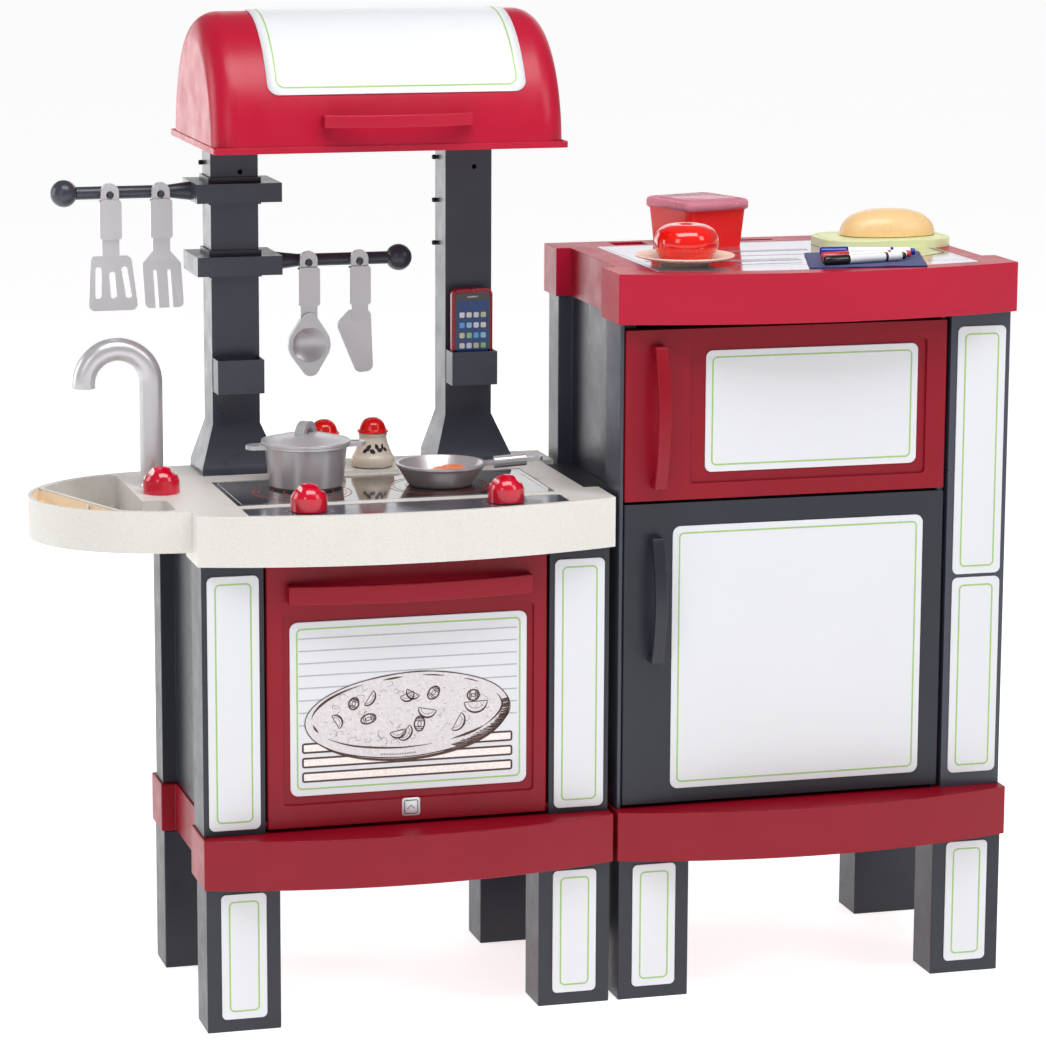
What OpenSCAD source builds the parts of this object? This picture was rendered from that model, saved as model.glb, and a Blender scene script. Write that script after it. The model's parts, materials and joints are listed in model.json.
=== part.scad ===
// Toy kitchen: a hob unit with a sink wing, a tall fridge unit, two posts with
// utensil rails and a hood, and the loose play pieces that belong to the set.
// The units are drawn with the hob unit centred on x = 0; place_kitchen() then
// moves everything so that the origin is under the middle of the whole object.

/* [Units] */
// Width of the two cabinets
body_w = 404; // [380:2:420]
// Width of the worktop and of the fridge top
top_w = 412; // [408:2:430]
// Width of the red base aprons
base_w = 409; // [404:1:412]
// Distance between the middles of the two units
pitch = 413.5; // [413:0.5:425]
// Height of the underside of the base
base_z = 144; // [120:2:160]
// Height of a base apron
base_h = 49; // [40:1:56]
// Height of the hob cabinet
hob_body_h = 266; // [250:2:290]
// Height of the fridge cabinet
fridge_body_h = 483; // [460:1:520]
// Height of the worktop and of the fridge top
top_h = 49; // [44:1:56]
// How far the front edges bow forward in the middle
bow = 31; // [20:1:36]
// Depth of the side recesses that the neighbours plug into
notch = 15; // [10:1:18]
// Wall thickness of the large mouldings
wall = 4; // [3:0.5:5]

/* [Doors] */
// Thickness of a door
door_t = 12; // [10:1:14]
// Width of the oven door
oven_w = 279; // [260:1:280]
// Height of the oven door
oven_h = 258.5; // [240:0.5:260]
// Width of the two fridge doors
fdoor_w = 333; // [320:1:335]
// Height of the lower fridge door
fdoor_h = 301; // [280:1:310]
// Height of the upper fridge door
udoor_h = 168; // [150:1:170]
// Radius of the door hinge pins
pin_r = 2.5; // [2:0.1:2.8]
// Radial running clearance of pins and spindles
run_gap = 0.05; // [0.02:0.01:0.09]

/* [Legs] */
// Width of a leg
leg_w = 72.5; // [60:0.5:80]
// Depth of a leg
leg_d = 48; // [40:1:56]

/* [Posts and hood] */
// Width of a post
post_w = 48; // [40:1:56]
// Depth of a post
post_d = 42; // [36:1:48]
// Distance of each post from the middle of the hob unit
post_x = 120; // [110:1:125]
// Top of the posts
post_top = 862; // [820:1:864]
// Width of the hood
hood_w = 346; // [320:1:360]
// Depth of the hood
hood_d = 220; // [218:1:230]
// Height of the hood
hood_h = 128; // [110:1:140]
// Underside of the hood
hood_z = 842; // [830:1:846]
// Rounding of the hood's ends
hood_r = 26; // [15:1:30]

/* [Rails and utensils] */
// Height of the upper rail
rail_hi = 788.5; // [780:0.5:795]
// Height of the lower rail
rail_lo = 716; // [700:0.5:725]
// Radius of a rail
rail_r = 6.4; // [5:0.1:7]
// Radius of the ball at the end of a rail
ball_r = 13.4; // [10:0.1:15]

/* [Sink and tap] */
// Reach of the sink wing from the worktop's side
sink_reach = 138; // [100:1:150]
// Half the depth of the sink wing
sink_half = 114; // [100:1:114]
// Height of the sink wing
sink_h = 40; // [34:1:44]
// Radius of the tap's tube
tube_r = 11.4; // [9:0.1:13]
// Radius of the tap's bend
bend_r = 33; // [26:1:40]
// Height of the tap's bend centre
bend_z = 611; // [580:1:630]

/* [Cookware and food] */
// Rim radius of the pot
pot_r = 41; // [36:1:44]
// Rim radius of the pan
pan_r = 44.5; // [38:0.5:48]
// Height of a shaker up to its cap
shaker_h = 36; // [30:1:40]
// Radius of the plate
plate_r = 49; // [44:1:56]
// Side of the food box
box_w = 74; // [60:1:80]

/* [Hidden] */
ledge_back_x = -242;     // edge of the ledge the tap stands on
ledge_front_x = -218.5;  // edge of the narrower part in front of the spindle
ledge_front_y = -40;
hood_board_x = -119.5;   // left end of the board on the hood
hood_board_w = 254;
hood_board_low = 25;     // the board runs between these two angles round the hood
hood_board_high = 97;
hood_grip_x = 4;
hood_grip_a = 14;        // angle round the hood where the handle stands
$fn = 64;

red = [0.66, 0.07, 0.16];
bright_red = [0.80, 0.05, 0.16];
anthracite = [0.24, 0.26, 0.31];
cream = [0.92, 0.91, 0.87];
board_white = [0.93, 0.94, 0.95];
silver = [0.62, 0.61, 0.63];

eps = 0.01;
plate_t = 6;                          // top plates of the base, worktop and fridge top
recess = 2.5;                         // depth of the trim recesses
front_y = -125;                       // front plane of the cabinets and doors
body_back = 126;                      // rear plane of the cabinets
base_front = -138;                    // corners of the base aprons
base_back = 138;
top_front = -131;                     // front corners of the worktop and fridge top
top_radius = (top_w * top_w / 4 + bow * bow) / (2 * bow);
worktop_back = 146;
fridge_top_back = 131;
notch_y0 = -76;                       // side recesses of the cabinets
notch_y1 = 90;
body_z = base_z + base_h;
worktop_z = body_z + hob_body_h;      // underside of the worktop
counter = worktop_z + top_h;          // top of the worktop
ftop_z = body_z + fridge_body_h;      // underside of the fridge top
ftop = ftop_z + top_h;                // top of the fridge top
panel_t = 1;                          // thickness of the fridge top's film panel
post_y = 124;                         // middle of the posts and rails
post_front = post_y - post_d / 2;
post_back = post_y + post_d / 2;
collar_w = 85.5;
collar_d = 75;
collar_h = 19;
hood_back = 151;
hood_mid = hood_back - hood_d / 2;
sink_x = -top_w / 2;                  // side face of the worktop
sink_mid = 10;                        // middle of the sink wing in depth
pilaster = 60.5;                      // width of a hob unit's front pilaster
fridge_pilaster = 62.5;
stop_y = -111;                        // front of the door stops

// Hinge axes
oven_pivot = [0, front_y + door_t / 2, body_z + 8];
door_pivot_x = pitch + body_w / 2 - fridge_pilaster - 7.5;
door_pivot_y = front_y + door_t / 2;
fdoor_z = body_z + 4;
udoor_z = fdoor_z + fdoor_h + 3;
door_right = door_pivot_x + 4;
door_left = door_right - fdoor_w;
mid_lug = [fdoor_z + fdoor_h - 5, udoor_z + 5];
lug_r = 4;

tap_x = -217.5;
tap_y = 42;
sink_knob = [-215.5, 2];
knob_x = 97;
knob_y = -125;
spindle_r = 4;
pot_at = [-71, 5, counter - 0.5];
pan_at = [60, -18, counter - 0.5];
tile_h = 3;                           // raised spice shelf on the worktop
shaker_y = 78;
salt_x = -36;
pepper_x = 14;
plate_at = [294, -68, ftop];
box_at = [356, 84, ftop];
box_turn = 18;
board_at = [539, 40, ftop];
bread_at = [548, 45, ftop + 9];
cloth_at = [400, -134, ftop];         // front left corner of the cloth

// Extent of the whole kitchen, for the origin under its middle
left_x = sink_x - sink_reach;
right_x = pitch + top_w / 2;
front_most = base_front - bow;
back_most = post_y + collar_d / 2;

module place_kitchen() {
    translate([-(left_x + right_x) / 2, -(front_most + back_most) / 2, 0])
        children();
}

// ---------- shared shapes ----------

// Upright block with a bowed front: corners at y = front, middle at front - sag
module bowed_block(w, front, sag, back, z0, z1) {
    radius = (w * w / 4 + sag * sag) / (2 * sag);
    intersection() {
        translate([-w / 2, front - sag - 1, z0])
            cube([w, back - front + sag + 1, z1 - z0]);
        translate([0, front - sag + radius, z0])
            cylinder(h = z1 - z0, r = radius, $fn = 256);
    }
}

// Outline block of a tray, set in by inset, with recesses in both sides
module tray_block(w, front, back, z0, z1, inset) {
    difference() {
        bowed_block(w - 2 * inset, front + inset, bow, back - inset, z0, z1);
        for (side = [-1, 1])
            translate([side * (w / 2 - notch - inset + 20), 0, z0 - 1])
                translate([-20, notch_y0 + wall - inset, 0])
                    cube([40, notch_y1 - notch_y0 - 2 * wall + 2 * inset, z1 - z0 + 2]);
    }
}

// Moulded tray: bowed outside, open below
module tray(w, front, back, z0, z1, plate) {
    difference() {
        tray_block(w, front, back, z0, z1, 0);
        tray_block(w, front, back, z0 - 1, z1 - plate, wall);
    }
}

// Flat panel with rounded corners, standing in the XZ plane, front face at y
module standing_panel(x0, x1, z0, z1, y, t, r) {
    translate([(x0 + x1) / 2, y + t, (z0 + z1) / 2])
        rotate([90, 0, 0])
            linear_extrude(t)
                offset(r = r)
                    square([x1 - x0 - 2 * r, z1 - z0 - 2 * r], center = true);
}

// Flat panel with rounded corners, lying in the XY plane
module flat_panel(w, d, t, r) {
    linear_extrude(t)
        offset(r = r)
            square([w - 2 * r, d - 2 * r], center = true);
}

// Points of an ellipse
function ellipse(cx, cy, a, b, n = 72) =
    [for (i = [0 : n - 1]) [cx + a * cos(i * 360 / n), cy + b * sin(i * 360 / n)]];

// Plan of a cabinet side with its outer face at x = 0 and its pilaster p wide
function side_plan(p) = concat(
    [[-p - 17, stop_y], [-p, stop_y], [-p, front_y], [0, front_y], [0, notch_y0],
     [-notch, notch_y0], [-notch, notch_y1], [0, notch_y1], [0, body_back],
     [-32, body_back], [-32, body_back - wall], [-wall, body_back - wall],
     [-wall, notch_y1 + wall], [-notch - wall, notch_y1 + wall],
     [-notch - wall, notch_y0 - wall], [-wall, notch_y0 - wall]],
    p > 2 * wall
        ? [[-wall, front_y + wall], [wall - p, front_y + wall], [wall - p, stop_y + wall]]
        : [[-wall, stop_y + wall]],
    [[-p - 17, stop_y + wall]]);

// Cabinet side of height h, reaching up inside the tray above it
module cabinet_side(p, h) {
    translate([0, 0, body_z])
        linear_extrude(h + top_h - plate_t - recess)
            polygon(side_plan(p));
}

// Bowed grip bar on two feet: length along X, height h, standing out to -Y
module grip_bar(len, h, foot, sag, t) {
    radius = (len * len / 4 + sag * sag) / (2 * sag);
    translate([0, -foot, -h / 2])
        intersection() {
            translate([-len / 2, -sag - 1, 0])
                cube([len, sag + 1 + t, h]);
            translate([0, radius - sag, 0])
                difference() {
                    cylinder(h = h, r = radius, $fn = 256);
                    translate([0, 0, -1])
                        cylinder(h = h + 2, r = radius - t, $fn = 256);
                }
        }
    for (side = [-1, 1])
        translate([side * (len / 2 - 4) - 4, -foot, -h / 2])
            cube([8, foot, h]);
}

// Door slab with rounded front edges, hollow behind, front face at front_y
module door_slab(x0, x1, z0, z1) {
    r = 3;
    difference() {
        union() {
            translate([x0 + r, front_y, z0])
                cube([x1 - x0 - 2 * r, door_t, z1 - z0]);
            translate([x0, front_y + r, z0])
                cube([x1 - x0, door_t - r, z1 - z0]);
            for (x = [x0 + r, x1 - r])
                translate([x, front_y + r, z0])
                    cylinder(h = z1 - z0, r = r);
        }
        translate([x0 + 14, front_y + door_t - 5, z0 + 14])
            cube([x1 - x0 - 28, 6, z1 - z0 - 28]);
    }
}

// Board recess in a door's front
module door_recess(x0, x1, z0, z1) {
    translate([0, -1, 0])
        standing_panel(x0, x1, z0, z1, front_y, 3 + 1, 4);
}

// ---------- hob unit ----------

module leg_set() {
    color(anthracite)
        for (sx = [-1, 1])
            for (sy = [-1, 1])
                translate([sx * (body_w / 2 - leg_w / 2), sy * (134 - leg_d / 2), 0])
                    difference() {
                        union() {
                            translate([-leg_w / 2, -leg_d / 2, 0])
                                cube([leg_w, leg_d, base_z]);
                            translate([-leg_w / 2 + 3, -leg_d / 2 + 5, base_z - eps])
                                cube([leg_w - 6, leg_d - 10, base_h - plate_t + eps]);
                        }
                        translate([-leg_w / 2 + 7, -leg_d / 2 + 7, wall])
                            cube([leg_w - 14, leg_d - 14, body_z]);
                    }
}

module base_apron() {
    color(red)
        tray(base_w, base_front, base_back, base_z, body_z, plate_t);
}

module hob_unit_legs() {
    leg_set();
}

module hob_unit_base() {
    base_apron();
}

// Right-hand side of the hob cabinet, with the blind bearing of the oven door
module hob_side() {
    inner = body_w / 2 - pilaster;
    color(anthracite)
        difference() {
            union() {
                translate([body_w / 2, 0, 0])
                    cabinet_side(pilaster, hob_body_h);
                translate([inner, front_y, body_z])
                    cube([14, door_t, 20]);
            }
            translate([inner - 1, oven_pivot[1], oven_pivot[2]])
                rotate([0, 90, 0])
                    cylinder(h = 10, r = 3 + run_gap);
        }
}

module hob_side_right() {
    hob_side();
}

module hob_side_left() {
    mirror([1, 0, 0]) hob_side();
}

module back_panel(h) {
    x = body_w / 2 - 32;
    color(anthracite)
        difference() {
            translate([-x, body_back - wall, body_z])
                cube([2 * x, wall, h]);
            for (i = [-3 : 3])
                translate([i * 40 - 3, body_back - 1.5, body_z + 20])
                    cube([6, 3, h - 40]);
        }
}

module hob_back_panel() {
    back_panel(hob_body_h);
}

// Control strip: straight behind, and 5 mm inside the worktop's bowed edge
module strip_plan(z0, z1, inset) {
    half = 158 - inset;
    intersection() {
        translate([0, top_front - bow + top_radius, z0])
            cylinder(h = z1 - z0, r = top_radius - 5 - inset, $fn = 256);
        translate([-half, -200, z0])
            cube([2 * half, 99 - inset, z1 - z0]);
    }
}

module worktop() {
    color(cream)
        difference() {
            union() {
                tray(top_w, top_front, worktop_back, worktop_z, counter, plate_t + recess);
                translate([-70, 56, counter - eps])
                    cube([106, 46, tile_h + eps]);
            }
            translate([-158, -87, counter - recess])
                cube([316, 134, recess + 1]);
            strip_plan(counter - recess, counter + 1, 0);
            for (side = [-1, 1])
                translate([side * knob_x, knob_y, worktop_z])
                    cylinder(h = top_h + 1, r = spindle_r + run_gap);
        }
}

module hob_panel() {
    color([0.05, 0.05, 0.06])
        translate([-157.7, -86.7, counter - recess])
            cube([315.4, 133.4, 2]);
}

module control_strip() {
    color([0.45, 0.46, 0.50])
        difference() {
            strip_plan(counter - recess, counter - recess + 2, 0.3);
            for (side = [-1, 1])
                translate([side * knob_x, knob_y, counter - recess - 1])
                    cylinder(h = 4, r = spindle_r + 0.3);
        }
}

// ---------- sink wing ----------

module sink_plan(inset) {
    intersection() {
        polygon(ellipse(sink_x + 6, sink_mid, sink_reach + 6 - inset, sink_half - inset));
        translate([sink_x - sink_reach, -150])
            square([sink_reach - inset, 300]);
    }
}

// Half plane on the basin side of the divider, moved by d towards the basin
module basin_side(d) {
    translate([-302 + d, -9])
        rotate(21.5)
            translate([0, -200])
                square([300, 400]);
}

// Plan of the basin, which also runs in front of the tap's platform
module basin_plan(grow) {
    intersection() {
        offset(r = 8 + grow)
            offset(delta = -8)
                intersection() {
                    sink_plan(8);
                    basin_side(4);
                    union() {
                        translate([-400, -200]) square([400 + ledge_back_x, 400]);
                        translate([-400, -200])
                            square([400 + ledge_front_x, 200 + ledge_front_y]);
                    }
                }
        sink_plan(2);
    }
}

module pocket_plan() {
    difference() {
        sink_plan(4);
        basin_side(0);
    }
}

module sink() {
    z0 = counter - sink_h;
    tab_y = notch_y0 + wall;
    tab_d = notch_y1 - notch_y0 - 2 * wall;
    color(cream)
        difference() {
            union() {
                translate([0, 0, z0])
                    linear_extrude(sink_h) sink_plan(0);
                translate([sink_x - eps, tab_y, z0])
                    cube([notch + eps, tab_d, sink_h]);
            }
            difference() {
                union() {
                    translate([0, 0, z0 - 1])
                        linear_extrude(sink_h - 3) sink_plan(3);
                    translate([sink_x - 4, tab_y + 3, z0 - 1])
                        cube([notch + 1, tab_d - 6, sink_h - 3]);
                }
                translate([0, 0, z0 + 6])
                    linear_extrude(sink_h) basin_plan(2.5);
                translate([0, 0, z0 + 14])
                    linear_extrude(sink_h)
                        offset(r = 2.5) pocket_plan();
                for (p = [[tap_x, tap_y, 12], [sink_knob[0], sink_knob[1], 8]])
                    translate([p[0], p[1], z0 + 16])
                        cylinder(h = sink_h, r = p[2]);
            }
            translate([0, 0, z0 + 8.5])
                linear_extrude(sink_h) basin_plan(0);
            translate([0, 0, z0 + 17])
                linear_extrude(sink_h) pocket_plan();
            translate([tap_x, tap_y, z0 + 17])
                cylinder(h = sink_h, r = 8 + run_gap);
            translate([sink_knob[0], sink_knob[1], z0 + 17])
                cylinder(h = sink_h, r = spindle_r + run_gap);
        }
}

module faucet() {
    mouth = [tap_x - 2 * bend_r, tap_y];
    color(silver) {
        difference() {
            union() {
                translate([tap_x, tap_y, counter + 0.3])
                    cylinder(h = bend_z - counter - 0.3, r = tube_r);
                translate([tap_x, tap_y, counter - 20])
                    cylinder(h = 21, r = 8);
                translate([tap_x, tap_y, counter + 0.3])
                    cylinder(h = 4, r1 = tube_r + 1.6, r2 = tube_r - 0.3);
                translate([tap_x - bend_r, tap_y, bend_z])
                    rotate([90, 0, 0])
                        rotate_extrude(angle = 180)
                            translate([bend_r, 0]) circle(r = tube_r);
                translate([mouth[0], mouth[1], bend_z - 4])
                    cylinder(h = 4, r = tube_r);
            }
            translate([mouth[0], mouth[1], bend_z - 5])
                cylinder(h = 18, r = tube_r - 2.5);
        }
    }
}

// Domed knob with two finger scoops; spindle below
module knob(r, h, spindle) {
    color(bright_red) {
        difference() {
            rotate_extrude()
                intersection() {
                    union() {
                        square([r, h - r * 0.72]);
                        translate([0, h - r])
                            circle(r = r);
                    }
                    square([r, h]);
                }
            for (side = [-1, 1])
                translate([side * (r * 0.62 + 3.2), 0, h - 2])
                    rotate([0, side * 24, 0])
                        rotate([90, 0, 0])
                            cylinder(h = 2 * r, r = r * 0.36, center = true);
        }
        translate([0, 0, -spindle])
            cylinder(h = spindle + 2, r = spindle_r);
    }
}

module hob_knob_left() {
    translate([-knob_x, knob_y, counter + 0.3]) knob(17.8, 26, 13);
}

module hob_knob_right() {
    translate([knob_x, knob_y, counter + 0.3]) knob(17.8, 26, 13);
}

module faucet_knob() {
    translate([sink_knob[0], sink_knob[1], counter + 0.3]) knob(17.8, 26, 20);
}

// ---------- posts, rails and hood ----------

module post(x) {
    flare_top = 556;
    color(anthracite)
        translate([x, 0, 0])
            difference() {
                union() {
                    translate([-post_w / 2, post_front, counter])
                        cube([post_w, post_d, post_top - counter]);
                    translate([-39.3, post_front - 23.5, counter])
                        cube([78.6, post_back - post_front + 23.5, 8]);
                    hull() {
                        translate([-39.3, post_front - 23.5, counter + 8 - eps])
                            cube([78.6, post_back - post_front + 23.5, eps]);
                        translate([-post_w / 2, post_front, flare_top - eps])
                            cube([post_w, post_d, eps]);
                    }
                    translate([-23.5, post_front - 26, 589.5])
                        cube([47, 26 + eps, 34]);
                }
                translate([-post_w / 2 + 3, post_front + 3, counter - 1])
                    cube([post_w - 6, post_d - 6, post_top - counter - 3]);
                translate([-21.7, post_front - 24.2, 591.5])
                    cube([43.4, 24.2, 34]);
                translate([6, post_front - 1, 808])
                    rotate([-90, 0, 0])
                        cylinder(h = 6, r = 2.4);
            }
}

module post_left() {
    post(-post_x);
}

module post_right() {
    post(post_x);
}

module snap_pin(x, z) {
    translate([x, post_y + 14, z])
        rotate([0, -90, 0])
            cylinder(h = 5, r = 2.4);
}

module post_snap_pins() {
    color([0.08, 0.08, 0.09]) {
        snap_pin(-post_x - post_w / 2, 815);
        for (z = [728, 771.5, 815])
            snap_pin(post_x - post_w / 2, z);
    }
}

// Collar that slides over the post, with a lip round the post
module collar(z) {
    gap = 0.1;
    translate([-post_x + 2, post_y, z])
        difference() {
            union() {
                translate([-collar_w / 2, -collar_d / 2, -collar_h / 2])
                    cube([collar_w, collar_d, collar_h]);
                translate([-2 - post_w / 2 - 2.5, -post_d / 2 - 2.5, -collar_h / 2 - 3])
                    cube([post_w + 5, post_d + 5, collar_h + 8]);
            }
            difference() {
                translate([-collar_w / 2 + 3, -collar_d / 2 + 3, -collar_h / 2 - 1])
                    cube([collar_w - 6, collar_d - 6, collar_h - 2]);
                translate([-2 - post_w / 2 - 2.5, -post_d / 2 - 2.5, -collar_h])
                    cube([post_w + 5, post_d + 5, 2 * collar_h]);
            }
            translate([-2 - post_w / 2 - gap, -post_d / 2 - gap, -collar_h])
                cube([post_w + 2 * gap, post_d + 2 * gap, 2 * collar_h]);
        }
}

// Peg that a utensil hangs from
module peg(x, z) {
    translate([x, post_y, z])
        rotate([90, 0, 0])
            cylinder(h = 16, r = 2.4);
}

// Rail from x0 (the collar) to its ball at x1, with pegs at each x in list
module rail(x0, x1, z, pegs) {
    out = sign(x1 - x0);
    translate([x0 - out * 1, post_y, z])
        rotate([0, out * 90, 0]) {
            cylinder(h = abs(x1 - x0), r = rail_r);
            cylinder(h = 24, r1 = 9.4, r2 = rail_r);
        }
    translate([x1, post_y, z])
        sphere(r = ball_r);
    for (x = pegs)
        peg(x, z);
}

spatula_x = -243;
fork_x = -192.3;
spoon_x = -43.3;
knife_x = 9;

module rail_upper() {
    color(anthracite) {
        collar(rail_hi);
        rail(-post_x + 2 - collar_w / 2, -286.5, rail_hi, [spatula_x, fork_x]);
    }
}

module rail_lower() {
    color(anthracite) {
        collar(rail_lo);
        rail(-post_x + 2 + collar_w / 2, 52.5, rail_lo, [spoon_x, knife_x]);
    }
}

// Half barrel with rounded ends along X, set in by inset and dropped by drop
module hood_form(inset, drop) {
    radius = hood_h - inset;
    half = hood_w / 2 - inset;
    r = hood_r - inset;
    translate([0, hood_mid, hood_z - drop])
        intersection() {
            scale([1, (hood_d / 2 - inset) / radius, 1])
                rotate([0, 90, 0])
                    rotate_extrude($fn = 96) {
                        translate([0, r - half]) square([radius, 2 * half - 2 * r]);
                        translate([0, -half]) square([radius - r, 2 * half]);
                        for (side = [-1, 1])
                            translate([radius - r, side * (half - r)])
                                intersection() {
                                    circle(r = r, $fn = 48);
                                    translate([0, side < 0 ? -r : 0]) square([r, r]);
                                }
                    }
            translate([-hood_w, -hood_d, 0])
                cube([2 * hood_w, 2 * hood_d, hood_h + 1]);
        }
}

module hood() {
    socket_w = post_w + 8;
    color(red)
        difference() {
            union() {
                difference() {
                    hood_form(0, 0);
                    hood_form(3, 1);
                }
                intersection() {
                    hood_form(1.5, 0);
                    union()
                        for (side = [-1, 1])
                            translate([side * post_x - socket_w / 2, post_front - 4.2, hood_z + 3])
                                cube([socket_w, 70, 22]);
                }
            }
            for (side = [-1, 1])
                translate([side * post_x - post_w / 2 - 0.2, post_front - 0.2, hood_z - 1])
                    cube([post_w + 0.4, post_d + 0.4, post_top - hood_z + 1]);
        }
}

// Point of the hood's surface at section angle a, moved out by d: [y, z]
function hood_point(a, d) =
    [hood_mid - (hood_d / 2 + d) * cos(a), hood_z + (hood_h + d) * sin(a)];

module hood_board() {
    color(board_white)
        translate([hood_board_x, 0, 0])
            rotate([90, 0, 90])
                linear_extrude(hood_board_w)
                    polygon(concat(
                        [for (a = [hood_board_low : 3 : hood_board_high]) hood_point(a, 1.3)],
                        [for (a = [hood_board_high : -3 : hood_board_low])
                            hood_point(a, 0.05)]));
}

module hood_handle() {
    foot_y = hood_point(hood_grip_a, 0)[0];
    color(red)
        translate([hood_grip_x, foot_y + 2, hood_z + hood_h * sin(hood_grip_a) - 1])
            difference() {
                grip_bar(146, 12, 14, 12, 6);
                translate([-hood_grip_x, hood_mid - foot_y - 2,
                           -hood_h * sin(hood_grip_a) + 1])
                    rotate([90, 0, 90])
                        translate([0, 0, -100])
                            linear_extrude(300)
                                polygon([for (i = [0 : 120])
                                    [-(hood_d / 2 + 0.05) * cos(i * 1.5),
                                     (hood_h + 0.05) * sin(i * 1.5)]]);
            }
}

// ---------- dry-erase boards on the pilasters and legs ----------

module dry_erase_boards() {
    t = 1.5;
    pil = body_w / 2 - pilaster / 2;
    fpil = pitch + body_w / 2 - fridge_pilaster / 2 + 1;
    leg = body_w / 2 - leg_w / 2;
    color(board_white) {
        for (side = [-1, 1])
            standing_panel(side * pil - 25.2, side * pil + 25.2, 199, 448, front_y - t, t, 6);
        standing_panel(fpil - 25.4, fpil + 25.4, 412, 662, front_y - t, t, 6);
        standing_panel(fpil - 25.4, fpil + 25.4, 207.5, 408.5, front_y - t, t, 6);
        for (x = [-leg, leg, pitch - leg, pitch + leg])
            standing_panel(x - 22.2, x + 22.2, 13, 138, -134 - t, t, 5);
    }
}

// ---------- fridge unit ----------

module fridge_unit_legs() {
    translate([pitch, 0, 0]) leg_set();
}

module fridge_unit_base() {
    difference() {
        translate([pitch, 0, 0]) base_apron();
        translate([door_pivot_x, door_pivot_y, base_z])
            cylinder(h = base_h + 1, r = pin_r + run_gap);
    }
}

module fridge_side_left() {
    color(anthracite)
        translate([pitch - body_w / 2, 0, 0])
            mirror([1, 0, 0])
                cabinet_side(wall, fridge_body_h);
}

// Lug that carries the door pins, reaching forward from the door stop
module hinge_lug(z0, z1) {
    difference() {
        union() {
            translate([door_pivot_x, door_pivot_y, z0])
                cylinder(h = z1 - z0, r = lug_r);
            translate([door_pivot_x - 2.8, door_pivot_y, z0])
                cube([5.6, stop_y - door_pivot_y + 1, z1 - z0]);
        }
        translate([door_pivot_x, door_pivot_y, z0 - 1])
            cylinder(h = z1 - z0 + 2, r = pin_r + run_gap);
    }
}

module fridge_side_right() {
    color(anthracite) {
        translate([pitch + body_w / 2, 0, 0])
            cabinet_side(fridge_pilaster, fridge_body_h);
        hinge_lug(mid_lug[0], mid_lug[1]);
        hinge_lug(udoor_z + udoor_h + 2, ftop_z);
    }
}

module fridge_back_panel() {
    translate([pitch, 0, 0]) back_panel(fridge_body_h);
}

module shelf(z, t, front) {
    half = body_w / 2 - notch - wall;
    color(anthracite)
        translate([pitch - half, front, z])
            difference() {
                cube([2 * half, body_back - wall - front, t]);
                translate([12, 12, -1])
                    cube([2 * half - 24, body_back - wall - front - 24, t - 2]);
            }
}

module mid_shelf() {
    shelf(udoor_z - 7, 8, stop_y + wall);
}

module fridge_shelf() {
    shelf(342, 7, stop_y + 16);
}

module fridge_top() {
    color(red)
        difference() {
            translate([pitch, 0, 0])
                tray(top_w, top_front, fridge_top_back, ftop_z, ftop, plate_t + recess);
            translate([pitch + 4, 0, 0])
                bowed_block(333, top_front + 12, bow * 0.66, 90, ftop - panel_t, ftop + 1);
            for (x = [273, 519])
                translate([x, 96, ftop - plate_t])
                    cube([35, 24, plate_t + 1]);
            translate([390, 104, ftop - plate_t])
                cube([56, 9, plate_t + 1]);
        }
}

module top_panel() {
    color([0.80, 0.80, 0.84])
        translate([pitch + 4, 0, 0])
            bowed_block(332, top_front + 12.5, bow * 0.66, 89.5, ftop - panel_t, ftop);
}

module module_link() {
    x0 = top_w / 2 - notch + 0.5;
    x1 = pitch - body_w / 2 + notch - 0.5;
    color([0.12, 0.12, 0.14])
        translate([x0, -67, counter - 38])
            difference() {
                cube([x1 - x0, 150, 34]);
                translate([3, 3, -1])
                    cube([x1 - x0 - 6, 144, 31]);
            }
}

// ---------- oven door ----------

module oven_door() {
    z0 = body_z + 4;
    color(red) {
        difference() {
            door_slab(-oven_w / 2, oven_w / 2, z0, z0 + oven_h);
            door_recess(-124, 126, 219, 407);
        }
        for (side = [-1, 1])
            translate([side * (oven_w / 2 - 1), oven_pivot[1], oven_pivot[2]])
                rotate([0, side * 90, 0])
                    cylinder(h = 8.5, r = 3);
    }
}

module oven_door_handle() {
    color(red)
        translate([1, front_y, 428]) grip_bar(241, 18, 12, 14, 6);
}

module oven_door_board() {
    color(board_white)
        standing_panel(-116.5, 119, 227.5, 399, front_y + 1.5, 1.5, 8);
}

// ---------- fridge doors ----------

// Space that a hinge lug needs at the door's hinged rear corner
module lug_relief(z0, z1) {
    translate([door_pivot_x - lug_r - 0.6, door_pivot_y - lug_r - 0.2, z0])
        cube([20, 20, z1 - z0]);
}

module door_pin(z0, z1) {
    translate([door_pivot_x, door_pivot_y, z0])
        cylinder(h = z1 - z0, r = pin_r);
}

module upper_door() {
    z1 = udoor_z + udoor_h;
    color(red) {
        difference() {
            door_slab(door_left, door_right, udoor_z, z1);
            lug_relief(udoor_z - 1, mid_lug[1] + 1.2);
            door_recess(283, 528, 516.5, 652.5);
        }
        door_pin(mid_lug[1] + 1 - 7, mid_lug[1] + 2);
        door_pin(z1 - 1, z1 + 6.5);
    }
}

module fridge_door() {
    z1 = fdoor_z + fdoor_h;
    color(anthracite) {
        difference() {
            door_slab(door_left, door_right, fdoor_z, z1);
            lug_relief(mid_lug[0] - 1.2, z1 + 1);
        }
        door_pin(mid_lug[0] - 2, mid_lug[0] + 5.6);
        door_pin(fdoor_z - 9, fdoor_z + 1);
    }
}

// Upright handle on a fridge door
module door_handle(x, z0, z1) {
    translate([x, front_y, (z0 + z1) / 2])
        rotate([0, 90, 0])
            grip_bar(z1 - z0, 12.4, 13, 12, 6);
}

module upper_door_handle() {
    color(red) door_handle(249.5, 514, 654);
}

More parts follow.
